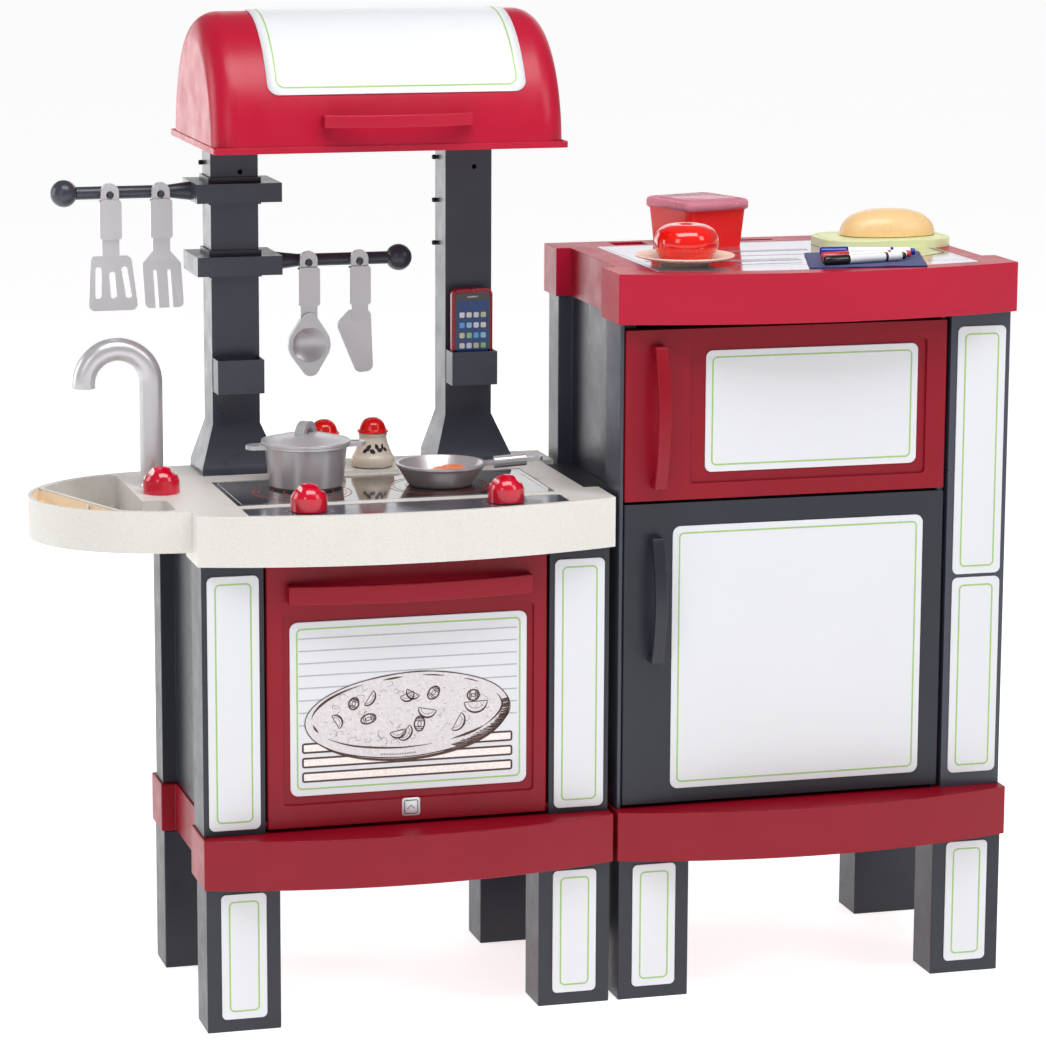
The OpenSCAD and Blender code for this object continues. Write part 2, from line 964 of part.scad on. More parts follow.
module fridge_door_handle() {
    color(anthracite) door_handle(248, 341, 466);
}

module upper_door_board() {
    color(board_white)
        standing_panel(299, 519, 527, 647, front_y + 1.5, 1.5, 7);
}

module fridge_door_board() {
    color(board_white)
        standing_panel(266, 527, 211, 475, front_y - 1.5, 1.5, 8);
}

// ---------- utensils, hanging from pegs; drawn with the peg at the origin ----------

// Place a flat outline behind a hung utensil's front plane; t is its thickness
module hung(x, z, y, t) {
    translate([x, y + t / 2, z])
        rotate([90, 0, 0])
            linear_extrude(t)
                children();
}

grip_y = 112.6;

module utensil_handle(x, z) {
    difference() {
        union() {
            hung(x, z, grip_y, 5)
                union() {
                    translate([0, 1.4]) circle(r = 9);
                    translate([-9, -8]) square([18, 9.4]);
                    translate([-8.6, -62]) square([17.2, 20]);
                }
            hung(x, z, grip_y - 0.8, 8)
                translate([0, -25.5])
                    offset(r = 3) square([15.8, 33], center = true);
        }
        translate([x, post_y, z - 1.35])
            rotate([90, 0, 0])
                cylinder(h = 40, r = 3.8);
    }
}

module spatula() {
    color(silver) {
        utensil_handle(spatula_x, rail_hi);
        hung(spatula_x, rail_hi, grip_y, 4)
            difference() {
                offset(r = 6)
                    polygon([[-14.4, -67.5], [15, -67.5], [20, -109.7], [-16.6, -109.7]]);
                for (s = [[-12.6, -72, -13, -103], [1, -77, 2.4, -103], [13.4, -72, 17.4, -103]])
                    hull() {
                        translate([s[0], s[1] - 3]) circle(r = 3, $fn = 24);
                        translate([s[2], s[3] + 2]) circle(r = 3, $fn = 24);
                    }
            }
    }
}

module fork() {
    color(silver) {
        utensil_handle(fork_x, rail_hi);
        hung(fork_x, rail_hi, grip_y, 4)
            difference() {
                offset(r = 5)
                    polygon([[-4, -60], [4, -60], [14.4, -72], [16.6, -109.3],
                             [-12, -109.3], [-14.2, -72]]);
                for (s = [[-7.0, -78, -4.4], [7.2, -78, 9.6]])
                    hull() {
                        translate([s[0], s[1]]) circle(r = 1.7, $fn = 24);
                        translate([s[2], -120]) circle(r = 1.9, $fn = 24);
                    }
            }
    }
}

module spoon() {
    bowl = [0, -84];
    color(silver) {
        utensil_handle(spoon_x, rail_lo);
        difference() {
            hung(spoon_x, rail_lo, grip_y - 0.6, 7)
                hull() {
                    translate(bowl) circle(r = 21.6);
                    translate([0, -60]) circle(r = 8.6);
                    translate([1, -107]) circle(r = 9);
                }
            translate([spoon_x, grip_y - 42, rail_lo - 84])
                sphere(r = 42, $fn = 96);
        }
    }
}

module knife() {
    color(silver) {
        utensil_handle(knife_x, rail_lo);
        hung(knife_x, rail_lo, grip_y, 4)
            offset(r = 7)
                polygon([[-7, -57], [4.6, -57], [6.4, -106.5], [0.8, -107], [-16, -66]]);
    }
}

// ---------- play phone in the right post's pocket ----------

module phone() {
    w = 42.6;
    t = 9;
    color([0.55, 0.10, 0.18])
        translate([post_x, post_front - 12 + t / 2, 591.5 + 47.5])
            rotate([90, 0, 0])
                linear_extrude(t)
                    offset(r = 7)
                        square([w - 14, 95 - 14], center = true);
}

// ---------- cookware ----------

// Flat side lug of the pot, pointing along +X
module pot_lug(r, z) {
    difference() {
        hull() {
            translate([r - 3, -11, z]) cube([1, 22, 4]);
            translate([r + 10, 0, z]) cylinder(h = 4, r = 9, $fn = 32);
        }
        translate([r + 9, 0, z - 1]) cylinder(h = 6, r = 4.5);
    }
}

module pot() {
    color(silver)
        translate(pot_at) {
            difference() {
                union() {
                    rotate_extrude()
                        polygon([[0, 0], [pot_r - 7, 0], [pot_r - 4.5, 2.5],
                                 [pot_r - 0.5, 40], [pot_r + 2.5, 41], [pot_r + 2.5, 43.5],
                                 [0, 43.5]]);
                    for (a = [0, 180])
                        rotate(a) pot_lug(pot_r, 39);
                }
                translate([0, 0, 2.5])
                    cylinder(h = 45, r1 = pot_r - 7.2, r2 = pot_r - 2.6);
            }
        }
}

module pot_lid() {
    color(silver)
        translate([pot_at[0], pot_at[1], pot_at[2] + 43.7]) {
            rotate_extrude()
                polygon([[0, 0], [0, 9.5], [12, 9], [26, 6.6], [37, 3.4],
                         [pot_r + 3, 2.4], [pot_r + 3, 0], [pot_r - 3.6, 0],
                         [pot_r - 3.9, -2], [pot_r - 6, -2], [pot_r - 7, 0]]);
            translate([0, 0, 6])
                rotate([90, 0, 50])
                    intersection() {
                        difference() {
                            translate([0, 0, -5]) cylinder(h = 10, r = 15);
                            translate([0, 0, -6]) cylinder(h = 12, r = 9);
                        }
                        translate([-20, 1, -6]) cube([40, 20, 12]);
                    }
        }
}

module pan() {
    color(silver)
        translate(pan_at) {
            rotate_extrude()
                polygon([[0, 0], [30, 0], [33, 2], [pan_r - 2.5, 17], [pan_r, 20],
                         [pan_r, 22], [pan_r - 3, 22], [pan_r - 5.5, 18],
                         [31, 4.6], [28, 3], [0, 3]]);
            translate([pan_r - 2.5, 0, 19])
                rotate([0, -4, -6])
                    difference() {
                        union() {
                            translate([0, -5, -2]) cube([16, 10, 4]);
                            translate([12, 0, 0])
                                rotate([0, 90, 0]) cylinder(h = 32, r = 6);
                            hull() {
                                translate([42, -4, -2]) cube([1, 8, 4]);
                                translate([56, 0, -2]) cylinder(h = 4, r = 5, $fn = 32);
                            }
                        }
                        translate([55, 0, -3]) cylinder(h = 6, r = 2.6);
                    }
        }
}

module steak() {
    color([0.93, 0.42, 0.20])
        translate([pan_at[0] + 5, pan_at[1], pan_at[2] + 8])
            linear_extrude(10)
                offset(r = 6)
                    polygon([[-17, -9], [4, -14], [18, -6], [17, 6], [2, 12], [-15, 7]]);
}

// Shaker body with a belly and a cap
module shaker(x, body_colour) {
    z0 = counter + tile_h;
    translate([x, shaker_y, z0]) {
        color(body_colour)
            rotate_extrude()
                polygon([[0, 0], [17, 0], [20.5, 2], [22, 6], [21.4, 11], [15, 25],
                         [14, shaker_h], [0, shaker_h]]);
        color([0.88, 0.08, 0.05])
            rotate_extrude()
                intersection() {
                    union() {
                        translate([0, shaker_h]) square([14.8, 2]);
                        translate([0, shaker_h + 1]) circle(r = 13);
                    }
                    translate([0, shaker_h]) square([20, 20]);
                }
    }
}

module salt_shaker() {
    shaker(salt_x, [0.93, 0.88, 0.80]);
}

module pepper_shaker() {
    shaker(pepper_x, [0.93, 0.88, 0.80]);
}

// ---------- pieces on the fridge top ----------

// Square cup with rounded corners whose side grows from w0 to w1 over h
module tapered_square(w0, w1, h, r) {
    hull() {
        flat_panel(w0, w0, eps, r);
        translate([0, 0, h - eps]) flat_panel(w1, w1, eps, r);
    }
}

module food_box() {
    color([0.90, 0.10, 0.07])
        translate(box_at)
            rotate(box_turn)
                difference() {
                    union() {
                        tapered_square(box_w - 7, box_w, 41, 7);
                        translate([0, 0, 38]) flat_panel(box_w + 3, box_w + 3, 2, 8);
                    }
                    translate([0, 0, 2.5])
                        tapered_square(box_w - 12, box_w - 4.6, 39, 5);
                }
}

module food_box_lid() {
    w = box_w + 5;
    color([0.93, 0.62, 0.76])
        translate([box_at[0], box_at[1], box_at[2] + 41.2])
            rotate(box_turn)
                difference() {
                    translate([0, 0, -3]) flat_panel(w, w, 14, 9);
                    translate([0, 0, -4]) flat_panel(w - 1.6, w - 1.6, 4, 8);
                    translate([0, 0, -1]) flat_panel(w - 4, w - 4, 10, 8);
                    translate([0, 0, 10])
                        difference() {
                            flat_panel(w - 6, w - 6, 3, 7);
                            translate([0, 0, -1]) flat_panel(w - 16, w - 16, 5, 6);
                        }
                }
}

module plate() {
    color([0.93, 0.80, 0.68])
        translate(plate_at)
            rotate_extrude()
                polygon([[0, 0.8], [22, 0.8], [22.5, 0], [24.5, 0], [26, 3], [40, 5.5],
                         [plate_r, 8.2], [plate_r, 9.6], [plate_r - 1.5, 9.8], [38, 7.2],
                         [28, 4.6], [26, 3.4], [0, 3.4]]);
}

module tomato() {
    color([0.92, 0.14, 0.07])
        translate([plate_at[0] + 1, plate_at[1], plate_at[2] + 3.5])
            rotate_extrude()
                polygon(concat([[0, 0], [23, 0]],
                    [for (a = [-44 : 11 : 88]) [15 + 16.8 * cos(a), 18 + 18.5 * sin(a)]],
                    [[6, 34.5], [0, 32.5]]));
}

module cutting_board() {
    color([0.84, 0.90, 0.68])
        translate(board_at)
            difference() {
                flat_panel(138, 90, 9, 34);
                translate([0, 0, 7.8])
                    difference() {
                        flat_panel(128, 80, 3, 29);
                        translate([0, 0, -1]) flat_panel(124, 76, 5, 27);
                    }
            }
}

module bread() {
    color([0.93, 0.74, 0.50])
        translate(bread_at)
            intersection() {
                hull()
                    for (x = [-25, 0, 25])
                        translate([x, 0, -3])
                            sphere(r = x == 0 ? 30 : 25, $fn = 32);
                translate([-60, -40, 0]) cube([120, 80, 60]);
            }
}

// Erasing cloth with a pinked left edge, lying a little askew
cloth_w = 118;
cloth_d = 118;
cloth_t = 2;
cloth_turn = -6.5;                    // of its front edge
cloth_lean = 17;                      // of its sides
cloth_teeth = 14;

// Point of the cloth at distance u along its front edge and v up its side
function on_cloth(u, v) =
    [u * cos(cloth_turn) + v * sin(cloth_lean), u * sin(cloth_turn) + v * cos(cloth_lean)];

module eraser_cloth() {
    color([0.13, 0.17, 0.33])
        translate(cloth_at)
            linear_extrude(cloth_t)
                polygon(concat(
                    [on_cloth(cloth_w, 0), on_cloth(cloth_w, cloth_d)],
                    [for (i = [0 : 2 * cloth_teeth])
                        on_cloth((i % 2) * 3, cloth_d * (1 - i / (2 * cloth_teeth)))]));
}

// Three markers fanned out on the cloth: [cap end in X and Y, turn]
marker_r = 5;
marker_rows = [[416, -130, 13], [424, -101, 3], [438, -57, -15]];
marker_inks = [[0.05, 0.05, 0.05], [0.85, 0.12, 0.10], [0.10, 0.12, 0.60]];

module markers() {
    cap = 28;
    barrel = 62;
    for (i = [0 : 2])
        translate([marker_rows[i][0], marker_rows[i][1], ftop + cloth_t + marker_r])
            rotate([0, 90, marker_rows[i][2]]) {
                color(marker_inks[i])
                    cylinder(h = cap, r = marker_r);
                color([0.96, 0.96, 0.95])
                    translate([0, 0, cap]) cylinder(h = barrel, r = marker_r - 0.4);
                color(marker_inks[i])
                    translate([0, 0, cap + barrel]) cylinder(h = 5, r = marker_r - 1.4);
            }
}

place_kitchen() {
    hob_unit_legs();
    hob_unit_base();
    hob_side_left();
    hob_side_right();
    hob_back_panel();
    worktop();
    hob_panel();
    control_strip();
    sink();
    post_left();
    post_right();
    post_snap_pins();
    rail_upper();
    rail_lower();
    hood();
    hood_handle();
    hood_board();
    dry_erase_boards();
    fridge_unit_legs();
    fridge_unit_base();
    fridge_side_left();
    fridge_side_right();
    fridge_back_panel();
    mid_shelf();
    fridge_shelf();
    fridge_top();
    top_panel();
    module_link();
    oven_door();
    oven_door_handle();
    oven_door_board();
    upper_door();
    upper_door_handle();
    upper_door_board();
    fridge_door();
    fridge_door_handle();
    fridge_door_board();
    hob_knob_left();
    hob_knob_right();
    faucet();
    faucet_knob();
    spatula();
    fork();
    spoon();
    knife();
    phone();
    pot();
    pot_lid();
    pan();
    steak();
    salt_shaker();
    pepper_shaker();
    food_box();
    food_box_lid();
    plate();
    tomato();
    cutting_board();
    bread();
    eraser_cloth();
    markers();
}
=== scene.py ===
"""Toy kitchen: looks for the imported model. Everything is in metres, in the row frame."""
import json, math, random
import bpy, bmesh
from mathutils import Matrix, Vector, noise


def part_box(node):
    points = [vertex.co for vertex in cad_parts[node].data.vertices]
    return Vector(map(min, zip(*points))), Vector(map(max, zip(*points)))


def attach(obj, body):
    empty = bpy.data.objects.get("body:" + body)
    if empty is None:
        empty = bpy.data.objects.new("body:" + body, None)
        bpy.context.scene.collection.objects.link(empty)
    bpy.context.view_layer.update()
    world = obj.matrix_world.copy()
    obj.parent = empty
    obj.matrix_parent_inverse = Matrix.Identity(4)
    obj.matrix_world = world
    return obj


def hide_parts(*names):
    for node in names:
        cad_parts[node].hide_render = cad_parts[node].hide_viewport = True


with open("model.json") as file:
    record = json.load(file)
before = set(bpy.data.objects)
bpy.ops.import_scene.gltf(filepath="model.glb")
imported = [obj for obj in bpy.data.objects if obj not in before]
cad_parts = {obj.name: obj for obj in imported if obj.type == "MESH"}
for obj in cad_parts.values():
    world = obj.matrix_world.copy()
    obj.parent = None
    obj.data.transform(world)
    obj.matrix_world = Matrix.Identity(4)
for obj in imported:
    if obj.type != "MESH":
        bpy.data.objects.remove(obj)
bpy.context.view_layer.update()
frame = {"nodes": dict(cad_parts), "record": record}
NODES = frame["nodes"]
BOX = {n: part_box(n) for n in NODES}
BODY = {n: b for b, ns in frame["record"]["behaviour"]["bodies"].items() for n in ns}
SLOT = {s["node"]: s["material_slot"] for s in frame["record"]["subparts"]}
rng = random.Random(7)
mm = 0.001


# ---------- camera and lights ----------

CAMERA_AT = (-1.03275, -3.70709, 1.19958)
CAMERA_LENS = 135.16
CAMERA_PAN, CAMERA_DOWN, CAMERA_ROLL = -15.72, 10.85, 0.24


def make_camera():
    """Seen from the front left, a little above the counter."""
    data = bpy.data.cameras.new("camera")
    data.sensor_width = data.sensor_height = 36
    data.sensor_fit = "HORIZONTAL"
    data.lens = CAMERA_LENS
    data.clip_end = 60
    cam = bpy.data.objects.new("camera", data)
    bpy.context.scene.collection.objects.link(cam)
    turn = (Matrix.Rotation(math.radians(CAMERA_PAN), 4, "Z")
            @ Matrix.Rotation(math.radians(90 - CAMERA_DOWN), 4, "X")
            @ Matrix.Rotation(math.radians(CAMERA_ROLL), 4, "Z"))
    cam.matrix_world = Matrix.Translation(CAMERA_AT) @ turn
    bpy.context.scene.camera = cam


def area_light(name, at, aim, size, power):
    """A soft white panel at at, facing aim."""
    data = bpy.data.lights.new(name, "AREA")
    data.shape = "RECTANGLE"
    data.size, data.size_y = size
    data.energy = power
    o = bpy.data.objects.new(name, data)
    bpy.context.scene.collection.objects.link(o)
    o.location = at
    o.rotation_euler = (Vector(aim) - Vector(at)).to_track_quat("-Z", "Y").to_euler()


def make_lights():
    """Weak panels in front, so that the glossy fronts stay dark, and pale sheen from behind."""
    area_light("key", (2.4, -2.2, 2.5), (0.15, 0, 0.75), (1.1, 1.5), 20)
    area_light("fill", (-2.3, -2.6, 1.9), (-0.1, 0, 0.6), (0.8, 1.5), 11)
    area_light("top", (0.0, -0.9, 2.45), (0.05, 0, 0.9), (1.9, 0.9), 36)
    area_light("side", (-2.6, 1.0, 1.2), (-0.1, 0, 0.6), (1.2, 1.6), 20)
    area_light("rim", (-1.25, 3.4, 0.9), (0, 0, 0.7), (1.6, 1.6), 13)
    area_light("back", (1.3, 3.4, 1.75), (0.2, 0, 0.8), (3.0, 1.5), 13)
    world = bpy.data.worlds.new("studio")
    bpy.context.scene.world = world
    world.use_nodes = True
    back = world.node_tree.nodes["Background"]
    back.inputs["Color"].default_value = (1, 1, 1, 1)
    back.inputs["Strength"].default_value = 0.2


# ---------- materials ----------

def linear(rgb):
    """A colour given as 0 to 255, in scene-linear values with alpha."""
    def one(v):
        v /= 255
        return v / 12.92 if v <= 0.04045 else ((v + 0.055) / 1.055) ** 2.4
    return tuple(one(v) for v in rgb) + (1,)


class Nodes:
    """A few short cuts for building a node tree."""

    def __init__(self, name):
        self.mat = bpy.data.materials.new(name)
        self.mat.use_nodes = True
        self.tree = self.mat.node_tree
        self.bsdf = self.tree.nodes["Principled BSDF"]
        self.where = self.tree.nodes.new("ShaderNodeTexCoord").outputs["Object"]

    def add(self, kind, **values):
        n = self.tree.nodes.new(kind)
        for key, v in values.items():
            n.inputs[key].default_value = v
        return n

    def join(self, a, b):
        self.tree.links.new(a, b)

    def noise(self, scale, detail=3, rough=0.5):
        n = self.add("ShaderNodeTexNoise", Scale=scale, Detail=detail, Roughness=rough)
        self.join(self.where, n.inputs["Vector"])
        return n.outputs["Fac"]

    def spread(self, source, lo, hi, start=0.3, end=0.7):
        m = self.add("ShaderNodeMapRange")
        m.inputs["From Min"].default_value = start
        m.inputs["From Max"].default_value = end
        m.inputs["To Min"].default_value = lo
        m.inputs["To Max"].default_value = hi
        self.join(source, m.inputs["Value"])
        return m.outputs["Result"]

    def mix(self, factor, a, b):
        m = self.tree.nodes.new("ShaderNodeMix")
        m.data_type = "RGBA"
        self.join(factor, m.inputs["Factor"])
        for socket, v in ((m.inputs[6], a), (m.inputs[7], b)):
            if isinstance(v, tuple):
                socket.default_value = v
            else:
                self.join(v, socket)
        return m.outputs[2]

    def bump(self, height, strength, distance, after=None):
        b = self.add("ShaderNodeBump", Strength=strength, Distance=distance)
        self.join(height, b.inputs["Height"])
        if after:
            self.join(after, b.inputs["Normal"])
        return b.outputs["Normal"]


def scaled(colour, k):
    """A linear colour made lighter or darker."""
    return tuple(min(1, c * k) for c in colour[:3]) + (1,)


def plastic(name, rgb, rough=0.34, mottle=0.05, grain=0.10, grain_scale=1400, speck=None,
            coat=0.0, metallic=0.0, specular=0.5, wear=0.35, sub=0.0, patchy=0.06):
    """Moulded plastic: soft colour drift, fine mould grain, uneven gloss, paler worn edges."""
    n = Nodes(name)
    base = linear(rgb)
    drift = n.noise(6, 4, 0.55)
    colour = n.mix(n.spread(drift, 0, 1), scaled(base, 1 - mottle), scaled(base, 1 + mottle))
    if speck:
        for other, scale, amount in speck:
            dots = n.spread(n.noise(scale, 1, 0.4), 0, amount, 0.62, 0.72)
            colour = n.mix(dots, colour, linear(other))
    geo = n.tree.nodes.new("ShaderNodeNewGeometry")
    edge = n.spread(geo.outputs["Pointiness"], 0, wear, 0.53, 0.60)
    colour = n.mix(edge, colour, scaled(base, 1.35))
    n.join(colour, n.bsdf.inputs["Base Color"])
    haze = n.noise(38, 5, 0.65)
    n.join(n.spread(haze, rough - patchy, rough + patchy), n.bsdf.inputs["Roughness"])
    fine = n.bump(n.noise(grain_scale, 2, 0.5), grain, 0.00012)
    wave = n.bump(n.noise(16, 2, 0.4), 0.10, 0.0012, fine)
    n.join(wave, n.bsdf.inputs["Normal"])
    n.bsdf.inputs["Metallic"].default_value = metallic
    n.bsdf.inputs["Specular IOR Level"].default_value = specular
    n.bsdf.inputs["Coat Weight"].default_value = coat
    n.bsdf.inputs["Coat Roughness"].default_value = 0.08
    n.bsdf.inputs["Subsurface Weight"].default_value = sub
    n.bsdf.inputs["Subsurface Radius"].default_value = (0.004, 0.003, 0.002)
    return n.mat


def printed(name, rgb, rough=0.4):
    """Ink: slightly uneven density."""
    n = Nodes(name)
    base = linear(rgb)
    n.join(n.mix(n.spread(n.noise(420, 3, 0.6), 0, 1), scaled(base, 0.9), scaled(base, 1.12)),
           n.bsdf.inputs["Base Color"])
    n.join(n.spread(n.noise(90, 3), rough - 0.05, rough + 0.08), n.bsdf.inputs["Roughness"])
    return n.mat


def cloth_material(name, rgb):
    """Flannel: crossed thread waves, lint and a soft sheen."""
    n = Nodes(name)
    base = linear(rgb)
    height = None
    for axis in ("X", "Y"):
        w = n.add("ShaderNodeTexWave", Scale=420, Distortion=1.5, Detail=2)
        w.bands_direction = axis
        n.join(n.where, w.inputs["Vector"])
        height = n.bump(w.outputs["Fac"], 0.35, 0.0003, height)
    lint = n.spread(n.noise(260, 5, 0.7), 0, 0.5, 0.5, 0.8)
    n.join(n.mix(lint, base, scaled(base, 2.2)), n.bsdf.inputs["Base Color"])
    n.join(height, n.bsdf.inputs["Normal"])
    n.bsdf.inputs["Roughness"].default_value = 0.92
    n.bsdf.inputs["Sheen Weight"].default_value = 0.35
    return n.mat


def clear_plastic(name, rgb):
    """Half see-through tinted plastic."""
    n = Nodes(name)
    base = linear(rgb)
    n.join(n.mix(n.spread(n.noise(9, 3), 0, 1), scaled(base, 0.95), scaled(base, 1.05)),
           n.bsdf.inputs["Base Color"])
    n.join(n.spread(n.noise(60, 4), 0.16, 0.28), n.bsdf.inputs["Roughness"])
    n.join(n.bump(n.noise(700, 2), 0.08, 0.0001), n.bsdf.inputs["Normal"])
    n.bsdf.inputs["Transmission Weight"].default_value = 0.55
    n.bsdf.inputs["IOR"].default_value = 1.3
    return n.mat


STONE = [((203, 192, 168), 900, 0.55), ((176, 160, 132), 1500, 0.4), ((255, 255, 255), 700, 0.3)]
MAT = {
    "red": plastic("red_plastic", (176, 14, 48), 0.34, grain=0.22, grain_scale=1100, specular=0.35),
    # painted shade: the next two are darker copies of the red and anthracite plastics for the low
    # parts, standing in for less light there
    "deep_red": plastic("deep_red_plastic", (140, 8, 30), 0.36, grain=0.22, grain_scale=1100,
                        specular=0.3),
    "deep_anthracite": plastic("deep_anthracite_plastic", (40, 42, 51), 0.34, 0.06, 0.26, 1100,
                               specular=0.4),
    "bright_red": plastic("bright_red_plastic", (208, 4, 44), 0.14, 0.03, 0.04, coat=0.5),
    "anthracite": plastic("anthracite_plastic", (58, 61, 73), 0.32, 0.06, 0.26, 1100),
    "cream": plastic("cream_plastic", (222, 219, 214), 0.42, 0.02, 0.10, speck=STONE, wear=0.1),
    "black_glass": plastic("hob_gloss_black", (14, 14, 17), 0.07, 0.1, 0.0, coat=0.8, wear=0),
    "grey_silver": plastic("strip_grey", (104, 106, 117), 0.14, 0.05, 0.02, metallic=0.5),
    "black_pin": plastic("black_plastic", (34, 35, 41), 0.5, 0.08, 0.2),
    "board_white": plastic("board_white", (222, 223, 227), 0.3, 0.012, 0.02, wear=0.1,
                           patchy=0.012),
    "mirror_silver": plastic("silver_film", (206, 201, 216), 0.12, 0.03, 0.03, metallic=0.85,
                             wear=0, patchy=0.015),
    "silver": plastic("silver_paint", (204, 202, 206), 0.3, 0.05, 0.3, 1300, metallic=0.5,
                      wear=0.2, patchy=0.02),
    "phone_red": plastic("phone_case_red", (160, 16, 44), 0.26, 0.04, 0.08),
    "steak_orange": plastic("steak_orange", (244, 134, 84), 0.34, 0.1, 0.3, 500, sub=0.1),
    "shaker_cream": plastic("shaker_cream", (243, 231, 214), 0.28, 0.02, 0.06, sub=0.1),
    "box_red": plastic("box_red", (238, 20, 16), 0.2, 0.03, 0.05, coat=0.2, sub=0.1),
    "plate_tan": plastic("plate_tan", (246, 218, 196), 0.3, 0.02, 0.06, sub=0.1),
    "tomato_red": plastic("tomato_red", (240, 24, 12), 0.1, 0.05, 0.03, coat=0.6, sub=0.1),
    "board_green": plastic("board_green", (226, 234, 182), 0.4, 0.02, 0.15, sub=0.1),
    "bread_tan": plastic("bread_tan", (248, 208, 150), 0.3, 0.06, 0.2, 600, sub=0.15, wear=0.1),
    "marker_white": plastic("marker_white", (246, 246, 246), 0.2, 0.01, 0.03, coat=0.3),
    "lid_pink": clear_plastic("lid_pink", (255, 176, 196)),
    "navy_cloth": cloth_material("navy_flannel", (38, 54, 118)),
    # painted shade: a tan copy of the cream for the pocket's shaded walls
    "pocket_tan": plastic("pocket_tan", (242, 212, 176), 0.45, 0.03, 0.1, wear=0.1),
}
INK = {
    "green": printed("ink_green", (158, 196, 112)),
    "grey": printed("ink_grey", (176, 178, 184)),
    "brown": printed("ink_brown", (72, 44, 34)),
    "pale": printed("ink_pale", (218, 213, 216)),
    "dark": printed("ink_dark", (40, 34, 36)),
    "ember": printed("ink_ember", (170, 74, 54), 0.2),
    "white": printed("ink_white", (232, 232, 236), 0.25),
    "blush": printed("ink_blush", (250, 236, 232)),
    "band": printed("ink_band", (150, 148, 164), 0.2),
    "leaf": printed("ink_leaf", (214, 214, 168), 0.2),
}


# ---------- CAD nodes: material, and rounded mould edges ----------

EDGE = {"phone": 0, "hood": 0.8, "faucet": 0.5, "knob": 0.5, "bread": 0, "tomato": 0}
# painted shade: the low parts get darker copies of the red and anthracite plastics than the hood,
# posts and fridge top, standing in for the weaker light from above
PAINTED_SHADE_PARTS = ("unit_base", "oven_door", "upper_door", "fridge_door", "hob_side", "legs")
for name, o in NODES.items():
    painted_shade_key = "deep_" + SLOT[name]
    o.data.materials.clear()
    o.data.materials.append(MAT[painted_shade_key if painted_shade_key in MAT and any(w in name for w in PAINTED_SHADE_PARTS)
                                else SLOT[name]])
    for p in o.data.polygons:
        p.use_smooth = True
    w = o.modifiers.new("weld", "WELD")
    w.merge_threshold = 1e-5
    d = o.modifiers.new("flats", "DECIMATE")
    d.decimate_type = "DISSOLVE"
    d.angle_limit = math.radians(0.6)
    width = EDGE.get(name, 0.5 if "knob" in name or "board" in name or "panel" in name else 1.1)
    if width:
        b = o.modifiers.new("edges", "BEVEL")
        b.width = width * mm
        b.segments = 2
        b.limit_method = "ANGLE"
        b.angle_limit = math.radians(32)
    n = o.modifiers.new("normals", "WEIGHTED_NORMAL")
    n.keep_sharp = True


# ---------- mesh helpers ----------

def piece(name, verts, faces, like, mat=None, slot=None, smooth=True, bevel=0, subdiv=0,
          solid=0, replaces=()):
    """A new mesh that rides with the body of the node called like."""
    me = bpy.data.meshes.new(name)
    me.from_pydata([tuple(v) for v in verts], [], faces)
    bm = bmesh.new()
    bm.from_mesh(me)
    bmesh.ops.remove_doubles(bm, verts=bm.verts, dist=1e-6)
    bmesh.ops.recalc_face_normals(bm, faces=bm.faces)
    bm.to_mesh(me)
    bm.free()
    for p in me.polygons:
        p.use_smooth = smooth
    o = bpy.data.objects.new(name, me)
    bpy.context.scene.collection.objects.link(o)
    me.materials.append(mat or MAT[SLOT[like]])
    if solid:
        s = o.modifiers.new("thickness", "SOLIDIFY")
        s.thickness = solid
        s.offset = 0
    if bevel:
        b = o.modifiers.new("edges", "BEVEL")
        b.width = bevel
        b.segments = 3
        b.limit_method = "ANGLE"
        b.angle_limit = math.radians(30)
        b.harden_normals = True
    if subdiv:
        s = o.modifiers.new("smooth", "SUBSURF")
        s.levels = s.render_levels = subdiv
    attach(o, BODY[like])
    if replaces:
        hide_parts(*replaces)
    return o


def grid_faces(rows, cols, wrap=False):
    """Quads between rows of cols vertices; wrap closes each row."""
    out = []
    for i in range(rows - 1):
        for j in range(cols if wrap else cols - 1):
            a, b = i * cols + j, i * cols + (j + 1) % cols
            out.append((a, b, b + cols, a + cols))
    return out


def lathe(profile, at, n=64, shape=None):
    """Revolve (r, z) about a vertical axis at at; shape(angle, r, z) may change r."""
    verts = []
    for r, z in profile:
        for j in range(n):
            a = 2 * math.pi * j / n
            rr = shape(a, r, z) if shape else r
            verts.append((at[0] + rr * math.cos(a), at[1] + rr * math.sin(a), at[2] + z))
    return verts, grid_faces(len(profile), n, True)


def sweep(path, radius, n=16):
    """A round tube along a path; radius may be a list."""
    pts = [Vector(p) for p in path]
    side = None
    verts = []
    for i, p in enumerate(pts):
        t = (pts[min(i + 1, len(pts) - 1)] - pts[max(i - 1, 0)]).normalized()
        if side is None:
            side = t.cross(Vector((0.31, 0.2, 0.93))).normalized()
        side = (side - t * side.dot(t)).normalized()
        up = t.cross(side)
        r = radius[i] if isinstance(radius, (list, tuple)) else radius
        for j in range(n):
            a = 2 * math.pi * j / n
            verts.append(p + side * r * math.cos(a) + up * r * math.sin(a))
    faces = grid_faces(len(pts), n, True)
    faces.append(tuple(range(n))[::-1])
    faces.append(tuple((len(pts) - 1) * n + j for j in range(n)))
    return verts, faces


def prism(outline, place, depth):
    """Outline [(u, v)] mapped by place(u, v, w) for w = 0 and w = depth."""
    n = len(outline)
    verts = [place(u, v, 0) for u, v in outline] + [place(u, v, depth) for u, v in outline]
    faces = [tuple(range(n)), tuple(range(2 * n - 1, n - 1, -1))]
    faces += [(i, (i + 1) % n, n + (i + 1) % n, n + i) for i in range(n)]
    return verts, faces


def merge(parts):
    """One mesh from several (vertices, faces) pairs."""
    verts, faces = [], []
    for v, f in parts:
        base = len(verts)
        verts += list(v)
        faces += [tuple(i + base for i in face) for face in f]
    return verts, faces


